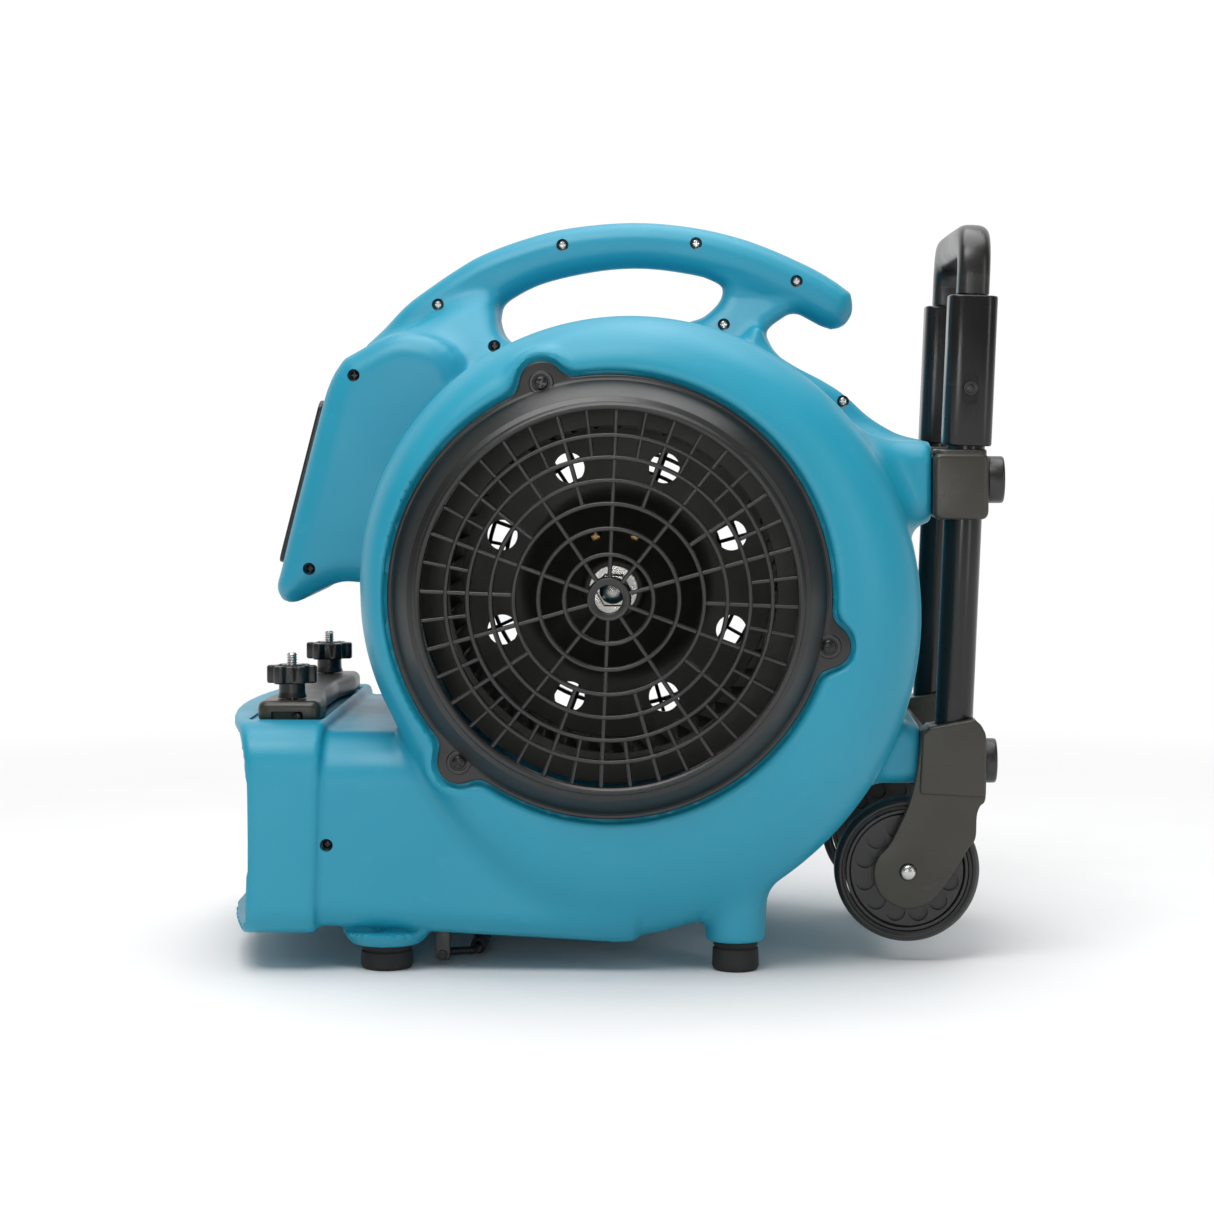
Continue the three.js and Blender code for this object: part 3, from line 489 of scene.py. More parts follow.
def both_sides(shape, name, body, slot, nodes=None, **more):
    """The near piece and its mirror image on the far side."""
    nodes = [nodes] if isinstance(nodes, str) else nodes or []
    far = copied(shape, MIRROR_Y)
    for side, part in (("near", shape), ("far", far)):
        home = body + "_" + side if body != "root" and body + "_" + side in frame["bodies"] else body
        piece(part, f"{name}_{side}", home, slot, [f"{n}_{side}" for n in nodes], **more)


# ------------------------------------------------------------------ the moulded shell
# The shell is the zero level of a distance field that is smooth where the mouldings blend.
RIM_R, RING_Y, SEAT_Y, WALL = 151.0, 187.0, 180.0, 6.0


def smin(a, b, k):
    h = np.clip(0.5 + 0.5 * (b - a) / k, 0, 1)
    return b + (a - b) * h - k * h * (1 - h)


def smax(a, b, k):
    return -smin(-a, -b, k)


def outline_distance(x, z, points):
    pts = np.asarray(points, float)
    best, inside = None, np.zeros(np.broadcast(x, z).shape, bool)
    for a, b in zip(pts, np.roll(pts, -1, 0)):
        e = b - a
        length = e @ e
        if length < 1e-9:
            continue
        t = np.clip(((x - a[0]) * e[0] + (z - a[1]) * e[1]) / length, 0, 1)
        d = (x - a[0] - t * e[0]) ** 2 + (z - a[1] - t * e[1]) ** 2
        best = d if best is None else np.minimum(best, d)
        if e[1]:
            inside ^= ((a[1] > z) != (b[1] > z)) & (x < a[0] + (z - a[1]) / e[1] * e[0])
    return np.where(inside, -1, 1) * np.sqrt(best)


def thick(flat, across, half, round_):
    """A flat outline's distance given a thickness, with rounded edges."""
    a, b = flat + round_, np.abs(across) - half + round_
    return np.hypot(np.maximum(a, 0), np.maximum(b, 0)) + np.minimum(np.maximum(a, b), 0) - round_


def rounded_box(u, v, u0, u1, v0, v1, corner):
    a = np.abs(u - (u0 + u1) / 2) - (u1 - u0) / 2 + corner
    b = np.abs(v - (v0 + v1) / 2) - (v1 - v0) / 2 + corner
    return np.hypot(np.maximum(a, 0), np.maximum(b, 0)) + np.minimum(np.maximum(a, b), 0) - corner


def scroll_radius(turn):
    full = 1.5 * pi
    grown = 170.5 + 9.6 * turn + 0.92 * turn ** 2
    t = np.clip((turn - full + 0.1) / 1.2, 0, 1)
    last = 170.5 + 9.6 * full + 0.92 * full ** 2
    return np.where(turn <= full, grown, last + (170.5 - last) * t * t * (3 - 2 * t))


def scroll_field(x, y, z, inset=0.0):
    dx, dz = x - FAN_X, z - FAN_Z
    r = np.hypot(dx, dz)
    limit = scroll_radius((np.arctan2(dx, dz) + 2.5 * pi) % (2 * pi)) - inset
    half, deep = RING_Y - inset, 48.0
    a = np.maximum(limit - RIM_R, 4)
    p, q = np.maximum(r - RIM_R, 0), np.maximum(y - (half - deep), 0)
    k0 = np.hypot(p / a, q / deep)
    k1 = np.hypot(p / a ** 2, q / deep ** 2) + 1e-9
    round_edge = k0 * (k0 - 1) / k1
    return np.where(y < half - deep, r - limit, np.where(r < RIM_R, y - half, round_edge))


HOUSING = curved([(-110, 300), (-150, 268), (-178, 261), (-198, 261), (-216, 254), (-229, 247.2),
    (-239, 248), (-243.4, 257.5), (-239.5, 274), (-225, 330), (-211, 383), (-205.5, 400), (-199, 412),
    (-189, 421), (-150, 436), (-110, 410)])
NECK = curved([(-193, 396), (-190, 404), (-180, 415), (-162, 430), (-140, 446), (-116, 462), (-98, 464),
    (-92, 452), (-88, 436), (-70, 415), (-60, 385), (-150, 375)])
HANDLE_OUTER = [(-185, 428.5), (-174.5, 439.8), (-158, 457.2), (-140, 470.6), (-122, 482.7), (-104, 493),
    (-75, 504), (-42, 512.3), (4, 516.4), (48, 513), (89.5, 503), (131, 485.5), (152, 473.5)]
HANDLE_END = [(162, 466), (163.5, 458), (162.5, 450), (157, 442.5), (149, 440)]
HANDLE_UNDER = [(141, 442.5), (130, 448.5), (112, 458), (92, 467), (72, 474), (40, 481), (9, 484),
    (-23, 481.5), (-60, 473), (-85, 460), (-95, 450), (-110, 432), (-150, 420)]
ARCH = (curved(HANDLE_OUTER, False, 5) + curved(HANDLE_END, False, 5) + curved(HANDLE_UNDER, False, 5))
STEM = curved([(62, 482), (70, 471), (68, 460), (57, 449), (44, 443), (30, 425), (60, 400), (104, 415),
    (103, 428), (101, 436), (106, 443), (116, 450), (123, 455), (128, 462), (100, 478)])
SPINE = curved([(92, 440), (101, 430), (108, 421), (121, 412.5), (139, 403.5), (155.5, 393), (172, 377.5),
    (186.5, 362), (194, 345), (150, 320), (110, 350), (70, 400)])


def mouth(y, z):
    """Where the front of the outlet lies."""
    across = np.clip(np.abs(y) / 173, 0, 1.2) ** 2
    return -278.5 + 25.5 * across + 1.6 * (1 - ((z - 100) / 72) ** 2) * across


def outer_field(x, y, z):
    scroll = scroll_field(x, y, z)
    r = np.hypot(x - FAN_X, z - FAN_Z)
    for angle in LUGS:
        lx, lz = polar(LUG_R, angle)
        pad = thick(np.hypot(x - lx, z - lz) - 24, y, 184.5, 7)
        scroll = smin(scroll, pad, 5)
    slope = np.clip((x + 196) / 176, 0, 1)
    corner = np.where(z > 95, 35, 20)
    duct = smax(rounded_box(y, z, -168, 168, 30 - 9 * slope, 162.5, corner), np.maximum(-300 - x, x - 10),
        4)
    body = smin(scroll, duct, 8)
    housing = thick(outline_distance(x, z, HOUSING), y, 90 - 3 * np.clip((300 - z) / 50, 0, 1), 18)
    body = smin(body, housing, 5)
    arch = thick(outline_distance(x, z, ARCH), y, 18.5, 14.5)
    rise = np.clip((482 - z) / 78, 0, 1)
    neck = thick(outline_distance(x, z, NECK), y, 18.5 + 51.5 * rise * rise * (3 - 2 * rise), 15)
    body = smin(body, smin(neck, arch, 12), 13)
    stem_half = np.clip(17 + 0.42 * (456 - z), 14, 34)
    stem = thick(outline_distance(x, z, STEM), y, stem_half, 10)
    body = smin(body, stem, 7)
    spine = thick(outline_distance(x, z, SPINE), y, 52, 9)
    body = smin(body, spine, 7)
    upper = smax(rounded_box(y, z, -115, 115, 305, 360.5, 16), x - 213, 5)
    lower = smax(rounded_box(y, z, -115, 115, 124, 166, 12), x - 206, 5)
    body = smin(smin(body, np.maximum(upper, 100 - x), 24), np.maximum(lower, 100 - x), 12)
    collar = rounded_box(y, z, -173, 173, 26, 169.5, np.where(z > 95, 30, 20))
    collar = smax(collar, x + 205 - 0.035 * (z - 60), 5)
    seat = np.maximum(rounded_box(x, y, -257, -206.5, -129, 129, 7), 166 - z)
    body = smin(body, smax(collar, -seat, 1.5), 4)
    rear = np.hypot(x - REAR_FOOT_X, y - FOOT_Y)
    body = smin(body, smax(rear - (20 + 0.05 * (z - 20)), np.maximum(20.3 - z, z - 90), 3), 9)
    front = np.hypot(x - FRONT_FOOT_X, y - FOOT_Y)
    dish = smax(front - np.clip(24 + 0.75 * (z - 17), 20, 31.5), np.maximum(17.2 - z, z - 27), 3)
    body = smin(body, dish, 3)
    recess = r - RIM_R
    for angle in LUGS:
        lx, lz = polar(LUG_R, angle)
        recess = smin(recess, np.hypot(x - lx, z - lz) - 17.5, 10)
    body = smax(body, -smax(recess, SEAT_Y - y, 1.5), 4.5)
    return smax(body, mouth(y, z) - x, 4)


def shell_field(x, y, z):
    outside = outer_field(x, y, z)
    scroll = np.maximum(scroll_field(x, y, z, WALL), y - SEAT_Y + WALL)
    slope = np.clip((x + 196) / 176, 0, 1)
    corner = np.where(z > 95, 29, 17)
    duct = np.maximum(rounded_box(y, z, -162, 162, 36 - 9 * slope, 156.5, corner), x)
    lip = np.maximum(rounded_box(y, z, -168.5, 168.5, 30.5, 162, corner - 1), x + 214)
    airway = smin(scroll, smin(duct, lip, 6), 10)
    inlet = np.hypot(x - FAN_X, z - FAN_Z) - 138
    return np.maximum(outside, -np.minimum(airway, inlet))


def surface_net(field, low, high, pitch):
    """The zero level of a field as points and quads, the points moved onto the level."""
    axes = [np.arange(a, b + pitch, pitch) for a, b in zip(low, high)]
    grid = np.broadcast_to(field(axes[0][:, None, None], axes[1][None, :, None], axes[2][None, None, :]),
        [len(a) for a in axes])
    inside = grid < 0
    corners = [(i, j, k) for i in (0, 1) for j in (0, 1) for k in (0, 1)]
    size = [len(a) - 1 for a in axes]

    def at(array, corner):
        return array[tuple(slice(c, c + n) for c, n in zip(corner, size))]

    total = sum(at(inside, c).astype(np.uint8) for c in corners)
    cells = np.nonzero((total > 0) & (total < 8))
    number = np.full(size, -1, np.int64)
    number[cells] = np.arange(len(cells[0]))
    value = {c: at(grid, c)[cells] for c in corners}
    place = np.zeros((len(cells[0]), 3))
    found = np.zeros(len(cells[0]))
    for a in corners:
        for axis in range(3):
            if a[axis]:
                continue
            b = tuple(1 if n == axis else a[n] for n in range(3))
            crossing = (value[a] < 0) != (value[b] < 0)
            t = np.where(crossing, value[a] / np.where(crossing, value[a] - value[b], 1), 0)
            for n in range(3):
                place[:, n] += np.where(crossing, a[n] + (t if n == axis else 0), 0)
            found += crossing
    points = (np.stack(cells, 1) + place / found[:, None]) * pitch + np.array(low, float)
    quads = []
    for axis in range(3):
        u, v = [n for n in range(3) if n != axis]
        first = [slice(1, -1)] * 3
        first[axis] = slice(0, -1)
        second = list(first)
        second[axis] = slice(1, None)
        a, b = inside[tuple(first)], inside[tuple(second)]
        where = np.array(np.nonzero(a != b))
        turned_ = a[tuple(where)]
        where[u] += 1
        where[v] += 1
        ring = []
        for du, dv in ((1, 1), (0, 1), (0, 0), (1, 0)):
            cell = where.copy()
            cell[u] -= du
            cell[v] -= dv
            ring.append(number[tuple(cell)])
        ring = np.stack(ring, 1)
        flip = turned_ if axis != 1 else ~turned_
        quads.append(np.where(flip[:, None], ring, ring[:, ::-1]))
    step = 0.6
    for _ in range(3):
        here = field(*points.T)
        slopes = []
        for n in range(3):
            beside = points.copy()
            beside[:, n] += step
            slopes.append((field(*beside.T) - here) / step)
        slopes = np.stack(slopes, 1)
        size2 = np.maximum((slopes ** 2).sum(1), 0.2)
        shift = -slopes * (here / size2)[:, None] * 0.85
        long = np.linalg.norm(shift, axis=1)
        points += shift * np.minimum(1, 0.45 * pitch / np.maximum(long, 1e-9))[:, None]
    return points, np.concatenate(quads)


def mesh_of(points, quads):
    mesh = bpy.data.meshes.new("net")
    mesh.vertices.add(len(points))
    mesh.vertices.foreach_set("co", points.astype(np.float32).ravel())
    mesh.loops.add(quads.size)
    mesh.loops.foreach_set("vertex_index", quads.astype(np.int32).ravel())
    mesh.polygons.add(len(quads))
    mesh.polygons.foreach_set("loop_start", np.arange(0, quads.size, 4, dtype=np.int32))
    mesh.update(calc_edges=True)
    shape = bmesh.new()
    shape.from_mesh(mesh)
    bpy.data.meshes.remove(mesh)
    return shape


PITCH = 3.0
net = mesh_of(*surface_net(lambda x, y, z: np.maximum(shell_field(x, np.abs(y), z), -4 - y), (-288, -9, 9),
    (222, 195, 525), PITCH))
half_shell = carved(net, block(-300, 240, 0.15, 210, 0, 540), "INTERSECT")

# The control panel sits in a seat in the housing's front.
panel_seat = moved(prism(rectangle(-66.4, -59.4, 66.4, 59.4, 8), -20, 1, "X"), PANEL)
half_shell = carved(half_shell, panel_seat)
stud_hole = drill(4.6, 150, 180, "Z", (CLAMP_X, CLAMP_Y), 24)
half_shell = carved(half_shell, stud_hole)
far_shell = copied(half_shell)
near_shell = copied(half_shell, MIRROR_Y)
half_shell.free()


# ------------------------------------------------------------------ screws
def screw(radius, height, cross):
    """A cross-recess screw head standing on Y = 0 and facing -Y."""
    dome = [(0, -height)]
    for k in range(1, 7):
        a = pi / 2 * k / 6
        dome.append((radius * sin(a), -height * (0.25 + 0.75 * cos(a))))
    dome += [(radius, 0.6), (0, 0.6)]
    head = turned(dome, "Y", (0, 0), 28)
    arm, deep = cross * 0.19, height * 0.85
    bits = [block(-w, w, -height - 1, -height + deep, -h, h) for w, h in ((cross, arm), (arm, cross))]
    for bit in bits:
        head = carved(head, bit)
    return head


def spot_depth(x, z, start):
    """Where the near side's surface lies at a place, as a positive distance from the middle."""
    for y in np.arange(start + 14, 0, -0.25):
        if outer_field(np.array([x]), np.array([y]), np.array([z]))[0] < 0:
            return float(y)
    return start


SILVER_SPOTS = [(-44.6, 500, 18), (51, 501, 18), (123, 474, 18), (-134, 457.5, 40), (71, 443, 30),
    (155, 388, 52)]
BLACK_SPOTS = [(-187, 406, 90), (-219, 271, 90), (-91, 427, 70), (-198, 88, 170)]
screw_heads = {"steel": [], "tube_black": []}
recess_rims = []
for spots, slot, deep in ((SILVER_SPOTS, "steel", 4.2), (BLACK_SPOTS, "tube_black", 7.2)):
    head = screw(3.1, 1.6, 2.3)
    for x, z, start in spots:
        y = -spot_depth(x, z, start)
        well = drill(4.4, y - 8, y + deep + 0.3, "Y", (x, z), 36)
        near_shell = carved(near_shell, well)
        screw_heads[slot].append(copied(head, offset(x, y + deep, z)))
        rim = [(3.3, 0.2), (3.3, -1.0), (4.3, -1.6), (4.3, 0.2)]
        recess_rims.append(turned([(a, y + deep + b) for a, b in rim], "Y", (x, z), 36))
    head.free()
for slot, heads in screw_heads.items():
    piece(merged(*heads), f"case_screws_{slot}", "root", slot, angle=40)
piece(merged(*recess_rims), "screw_sockets", "root", "black_plastic", angle=40)
piece(near_shell, "case_near", "root", "shell_blue", "shell_near", 50)
piece(far_shell, "case_far", "root", "shell_blue", "shell_far", 50)


# ------------------------------------------------------------------ inlet grilles
def flange_outline(radius, lug, blend, steps=360):
    out = []
    for k in range(steps):
        a = 2 * pi * k / steps
        low, high = radius - 8, radius + 30
        for _ in range(24):
            mid = (low + high) / 2
            x, z = FAN_X + mid * cos(a), FAN_Z + mid * sin(a)
            d = mid - radius
            for angle in LUGS:
                lx, lz = polar(LUG_R, angle)
                d = float(smin(np.array(d), np.array(hypot(x - lx, z - lz) - lug), blend))
            low, high = (mid, high) if d < 0 else (low, mid)
        out.append((x, z))
    return out


def spoke(angle, inner, outer, half=1.45):
    outline = filleted([(-half, -195.6), (-half, -201.6), (half, -201.6), (half, -195.6)],
        [0, 1.2, 1.2, 0], 3)
    bar = prism([(y, t) for t, y in outline], inner, outer, "X")
    return moved(bar, spun(FAN_X, FAN_Z, angle))


def hoop(radius, half=1.5, front=-202.4, back=-195.6):
    section = filleted([(radius - half, back), (radius - half, front), (radius + half, front),
        (radius + half, back)], [0, 1.3, 1.3, 0], 3)
    return fan_turned(section, 128)


def inlet_grille():
    plate = prism(flange_outline(148.4, 14.6, 10), -184.6, -180.3, "Y", 1.3, 3)
    plate = carved(plate, drill(146, -190, -175, "Y", (FAN_X, FAN_Z), 128))
    bezel = filleted([(146.6, -180.4), (146.6, -184.2), (144.6, -185.6), (134.0, -199.0), (130.4, -200.8),
        (129.6, -203.3), (127.3, -205.2), (124.9, -203.0), (124.9, -194.5), (127.5, -190),
        (136.5, -180.4)], [0, 0.8, 2, 3, 0.6, 1.6, 2.2, 1.4, 2, 3, 0], 4)
    parts = [plate, fan_turned(bezel, 160)]
    parts += [hoop(r) for r in (29.6, 46.7, 63.1, 78.4, 93.6, 108.2)]
    parts.append(turned(filleted([(9.2, -195.6), (9.2, -201.6), (14.2, -202.6), (15.2, -195.6)], 1.1, 3),
        "Y", (FAN_X, FAN_Z), 64))
    parts += [spoke(87.7 + 36 * k, 13, 126.5) for k in range(10)]
    parts += [spoke(105.7 + 36 * k, 62, 126.5) for k in range(10)]
    parts += [spoke(96.7 + 18 * k, 92.5, 126.5, 1.3) for k in range(20)]
    for angle in LUGS:
        x, z = polar(LUG_R, angle)
        parts.append(turned(filleted([(5.6, -184.2), (5.6, -185.6), (7.8, -185.6), (8.6, -184.2)],
                [0, 0.5, 0.5, 0], 3), "Y", (x, z), 40))
    return merged(*parts)


both_sides(inlet_grille(), "inlet_guard", "root", "black_plastic", "inlet_grille", angle=36)
lug_head = screw(4.6, 2.2, 3.2)
lug_screws = []
for angle in LUGS:
    x, z = polar(LUG_R, angle)
    lug_screws.append(copied(lug_head, offset(x, -184.6, z) @ Matrix.Rotation(radians(angle), 4, "Y")))
lug_head.free()
both_sides(merged(*lug_screws), "guard_screws", "root", "tube_black", angle=40)


# ------------------------------------------------------------------ impeller
def impeller_disc():
    disc = fan_turned(filleted([(8.3, -88), (20.5, -88), (23, -60), (66, -2.2), (IMPELLER_R, -1.6),
            (IMPELLER_R, 1.4), (64, 1.4), (20, -52), (8.3, -52)], [0, 3, 10, 12, 0.6, 0.6, 10, 6, 0], 5),
        96)
    for k in range(8):
        x, z = polar(90, 22.5 + 45 * k)
        disc = carved(disc, drill(11, -30, 30, "Y", (x, z), 40))
    return disc


def blade_cage(count=44):
    parts = [fan_turned(filleted([(inner, y0), (IMPELLER_R, y0), (IMPELLER_R, y1), (inner, y1)], 0.9, 3))
            for inner, y0, y1 in ((112, -4.9, -1.9), (114, -91.6, -87.4), (130.5, -46.5, -43.8))]
    arc = [(112.5 + 22.3 * t, 9.5 * sin(pi * 0.62 * t) - 2.5) for t in np.linspace(0, 1, 7)]
    outline = [(r, s - 0.7) for r, s in arc] + [(r, s + 0.7) for r, s in reversed(arc)]
    blade = prism(outline, -90.5, -3, "Y")
    for k in range(count):
        turn = offset(FAN_X, 0, FAN_Z) @ Matrix.Rotation(2 * pi * k / count, 4, "Y")
        parts.append(copied(blade, turn))
    blade.free()
    return merged(*parts)


piece(impeller_disc(), "impeller_web", "impeller", "impeller_plastic", "impeller_disc", 40)
both_sides(blade_cage(), "impeller_blades", "impeller", "impeller_plastic", "blade_cage", angle=40)
piece(fan_turned(filleted([(8.4, -91.2), (17.2, -91.2), (17.2, -88.3), (8.4, -88.3)], 0.7, 3), 64),
    "hub_plate", "impeller", "steel", "hub_washer")
nut = turned(filleted([(0, -99.5), (11.6, -99.5), (12.9, -98.3), (12.9, -91.4), (0, -91.4)],
    [0, 0.5, 0.5, 0, 0], 3), "Y", (FAN_X, FAN_Z), 6)
dome = [(0, -108)] + [(9.6 * sin(a), -99.4 - 8.6 * cos(a)) for a in np.linspace(0.2, pi / 2, 8)]
piece(merged(nut, fan_turned(dome + [(9.6, -98.5), (0, -98.5)], 48)), "acorn_nut", "impeller", "steel",
    "shaft_nut")

# ------------------------------------------------------------------ motor
ribs = [(50, 20.2)]
for k in range(9):
    y = 22 + 9.6 * k
    ribs += [(59.5, y), (MOTOR_R, y + 1.6), (MOTOR_R, y + 5.2), (59.5, y + 6.8)]
piece(fan_turned(ribs + [(61, 109.8), (50, 109.8)], 72), "motor_frame", "root", "motor_paint",
    "motor_body", 30)
bell = fan_turned(filleted([(9.2, -37.8), (29, -37.8), (41, -22), (56, 4), (MOTOR_R, 8), (MOTOR_R, 19.7),
        (9.2, 19.7)], [0, 4, 8, 5, 2, 0, 0], 4), 72)
for k in range(6):
    x, z = polar(41, 30 + 60 * k)
    vent = moved(block(-5, 5, -40, 12, -3, 3, 2), spun(x, z, 30 + 60 * k))
    bell = carved(bell, vent)
piece(bell, "motor_end_near", "root", "motor_paint", "motor_bell_near", 30)
brass = screw(4.2, 2.4, 3.0)
piece(merged(*[copied(brass, offset(FAN_X + side, -42, FAN_Z + 35)) for side in (-14, 14)]), "hub_screws",
    "impeller", "impeller_plastic", angle=40, material="brass")
far_bell = fan_turned(filleted([(0, 120), (9, 120), (9, 110.3), (MOTOR_R, 110.3), (MOTOR_R, 123),
        (52, 132), (0, 132)], [0, 0, 0, 1, 4, 5, 0], 4), 72)
for k in range(8):
    x, z = polar(46, 22.5 + 45 * k)
    vent = moved(block(-6, 6, 112, 140, -2.2, 2.2, 1.5), spun(x, z, 22.5 + 45 * k))
    far_bell = carved(far_bell, vent)
piece(far_bell, "motor_end_far", "root", "motor_paint", "motor_bell_far", 30)
arms = [fan_turned(filleted([(0, 132.3), (46, 132.3), (46, 137), (20, 137), (17, 139.5), (0, 139.5)],
        [0, 0.8, 0.8, 1, 1, 0], 3), 72)]
for degrees in (30, 150, 270):
    x, z = polar(146, degrees)
    strap = block(30, 152, 132.6, 136.8, -9, 9, 1.2)
    arms.append(moved(strap, spun(FAN_X, FAN_Z, degrees)))
    arms.append(turned(filleted([(0, 134), (8, 134), (7.4, 175.4), (0, 175.4)], [0, 1.5, 1, 0], 3), "Y",
        (x, z), 32))
piece(merged(*arms), "motor_mount", "root", "motor_paint", "motor_bracket", 34)
mount_bolts = []
for degrees in (30, 150, 270):
    x, z = polar(38, degrees)
    mount_bolts.append(copied(brass, offset(x, 137, z) @ Matrix.Rotation(pi, 4, "Z")))
brass.free()
piece(merged(*mount_bolts), "motor_screws_far", "root", "steel", angle=40)

# ------------------------------------------------------------------ outlet grille
half_y, low_z, high_z = 167.6, 31.4, 161.2
frame_bar = prism(rectangle(-half_y, low_z, half_y, high_z, 27), -238, -233, "X", 1.0, 2)
frame_bar = carved(frame_bar, prism(rectangle(-half_y + 12, low_z + 12, half_y - 12, high_z - 12, 10),
    -245, -225, "X"))
bars = [frame_bar]
for k in range(1, 10):
    y = -half_y + 12 + 31.38 * k
    bars.append(softened(block(-237.8, -233.2, y - 2, y + 2, low_z + 10, high_z - 10), 1.0, 2))
bars.append(softened(block(-237.6, -233.4, -half_y + 10, half_y - 10, 92, 96), 1.0, 2))
piece(merged(*bars), "outlet_guard", "root", "black_plastic", "outlet_grille", 36)

# ------------------------------------------------------------------ control panel
# The places of the dial, the reset button and the gland, across and up the panel.
DIAL, RESET, GLAND = (8, -30), (38, 22), (40, -24)
plate = prism(rectangle(-66, -59, 66, 59, 8), -3.2, 0.7, "X", 0.9, 3)
for centre, radius in ((DIAL, 5), (RESET, 5.2), (GLAND, 7.5)):
    plate = carved(plate, drill(radius, -12, 12, "X", centre, 40))
piece(moved(plate, PANEL), "switch_panel", "root", "panel_black", "control_panel", 34)
flutes = wavy(DIAL, 144, lambda a: 18.0 - 0.9 * max(0, cos(18 * a)) ** 2)
knob = merged(prism(flutes, -9.2, -3.6, "X", 1.4, 3),
    turned(filleted([(0, -10), (14.5, -10), (15.2, -8.8), (0, -8.8)], [0, 0.7, 0, 0], 3), "X", DIAL, 48),
    drill(4, -8, 12, "X", DIAL, 24))
knob = merged(knob, softened(block(-11.4, -8, 5.7, 10.3, -45, -15), 0.8, 3))
piece(moved(knob, PANEL), "speed_dial", "speed_knob", "black_plastic", "speed_knob", 34)
ticks = []
for k in range(10):
    a = radians(225 - 30 * k)
    tick = block(-3.55, -3.25, -2.6, 2.6, -0.7, 0.7)
    ticks.append(moved(tick, offset(0, 8 + 22 * cos(a), -30 + 22 * sin(a)) @ Matrix.Rotation(a, 4, "X")))
ticks.append(block(-3.5, -3.2, -42, 42, 48.6, 49.4))
piece(moved(merged(*ticks), PANEL), "dial_marks", "root", "panel_black", angle=34, material="marking")
piece(moved(softened(block(-11.7, -10.9, 7.3, 8.7, -44, -20), 0.3, 2), PANEL), "dial_pointer",
    "speed_knob", "black_plastic", angle=34, material="marking")
boot = [(0, -7)] + [(4.3 * sin(a), -2.7 - 4.3 * cos(a)) for a in np.linspace(0.25, pi / 2, 7)]
piece(moved(turned(boot + [(4.3, 9), (0, 9)], "X", RESET, 32), PANEL), "reset_button", "breaker_button",
    "rubber", "breaker_button", 40)
ring = turned(filleted([(5.5, -3.3), (8.6, -3.3), (8.6, -5.4), (5.5, -5.8)], [0, 0, 0.9, 0.4], 3), "X",
    RESET, 6)
piece(moved(ring, PANEL), "reset_nut", "root", "steel", angle=30)
gland = filleted([(0, -8), (3.8, -8), (3.8, -14), (5.4, -14), (6.9, -9.8), (8.2, -9), (8.2, -7.4),
    (9.4, -7.4), (9.4, -3.6), (6.8, -3.6), (6.8, 9.8), (0, 9.8)],
    [0, 0, 0.5, 0.6, 1.2, 0.5, 0.5, 0.8, 0, 0, 0, 0], 3)
gland_shape = turned(gland, "X", GLAND, 48)
grips = [moved(softened(block(-7.2, -4.2, -0.8, 0.8, 8.8, 9.7), 0.3, 2),
    offset(0, 40, -24) @ Matrix.Rotation(radians(30 * k), 4, "X")) for k in range(12)]
piece(moved(merged(gland_shape, *grips), PANEL), "cord_gland", "root", "black_plastic", "cable_gland", 34)
panel_screw = moved(screw(3.2, 1.7, 2.3), Matrix.Rotation(-pi / 2, 4, "Z"))
piece(moved(merged(*[copied(panel_screw, offset(-2.2, y, z)) for y in (-58, 58) for z in (-51, 51)]),
    PANEL), "panel_screws", "root", "steel", angle=40)
panel_screw.free()
can = filleted([(0, -41.8), (17.2, -41.8), (17.2, 35.5), (6, 36.5), (6, 37.8), (0, 37.8)],
    [0, 2, 2, 0, 0.5, 0], 3)
piece(turned(can, "Y", (-184, 350), 48), "run_capacitor", "root", "aluminium", "capacitor", 34)

# ------------------------------------------------------------------ carpet clamp
def clamp_bar():
    half, waist, half_y = 21.8, 15, 125.8
    side = filleted([(half, -half_y), (half, -half_y + 36), (waist, -38), (waist, 38), (half, half_y - 36),
        (half, half_y), (-half, half_y), (-half, half_y - 36), (-waist, 38), (-waist, -38),
        (-half, -half_y + 36), (-half, -half_y)], [8, 22, 60, 60, 22, 8] * 2, 6)
    bar_shape = prism([(CLAMP_X + a, b) for a, b in side], 166.4, 181.6, "Z", 5.0, 5)
    for y in (-CLAMP_Y, CLAMP_Y):
        bar_shape = carved(bar_shape, drill(4.6, 160, 190, "Z", (CLAMP_X, y), 32))
    for sign in (-1, 1):
        notch = block(CLAMP_X - 12, CLAMP_X + 10, *sorted((sign * 119, sign * 130)), 164, 174.5, 1.2, 3)
        bar_shape = carved(bar_shape, notch)
    return bar_shape


NEAR_STUD = (CLAMP_X, -CLAMP_Y)


def clamp_knob():
    outline = wavy(NEAR_STUD, 180, lambda a: 15.1 + 2.4 * tanh(2.4 * cos(6 * a)))
    head = prism(outline, 192.6, 205, "Z", 1.5, 3)
    dish = turned(filleted([(0, 203.6), (9.8, 203.6), (11.6, 206), (0, 206)], [0, 0.8, 0, 0], 3), "Z",
        NEAR_STUD, 48)
    head = carved(head, dish)
    neck = turned(filleted([(4.6, 182.4), (10.6, 182.4), (9.3, 186), (9.1, 194), (4.6, 194)],
        [0, 0.8, 2, 0, 0], 3), "Z", NEAR_STUD, 48)
    boss_ = turned(filleted([(4.4, 203), (7.2, 203), (7.2, 205.4), (4.4, 205.4)], 0.5, 3), "Z", NEAR_STUD,
        36)
    hole = drill(4.4, 170, 220, "Z", NEAR_STUD, 36)
    return merged(carved(head, hole), neck, boss_)


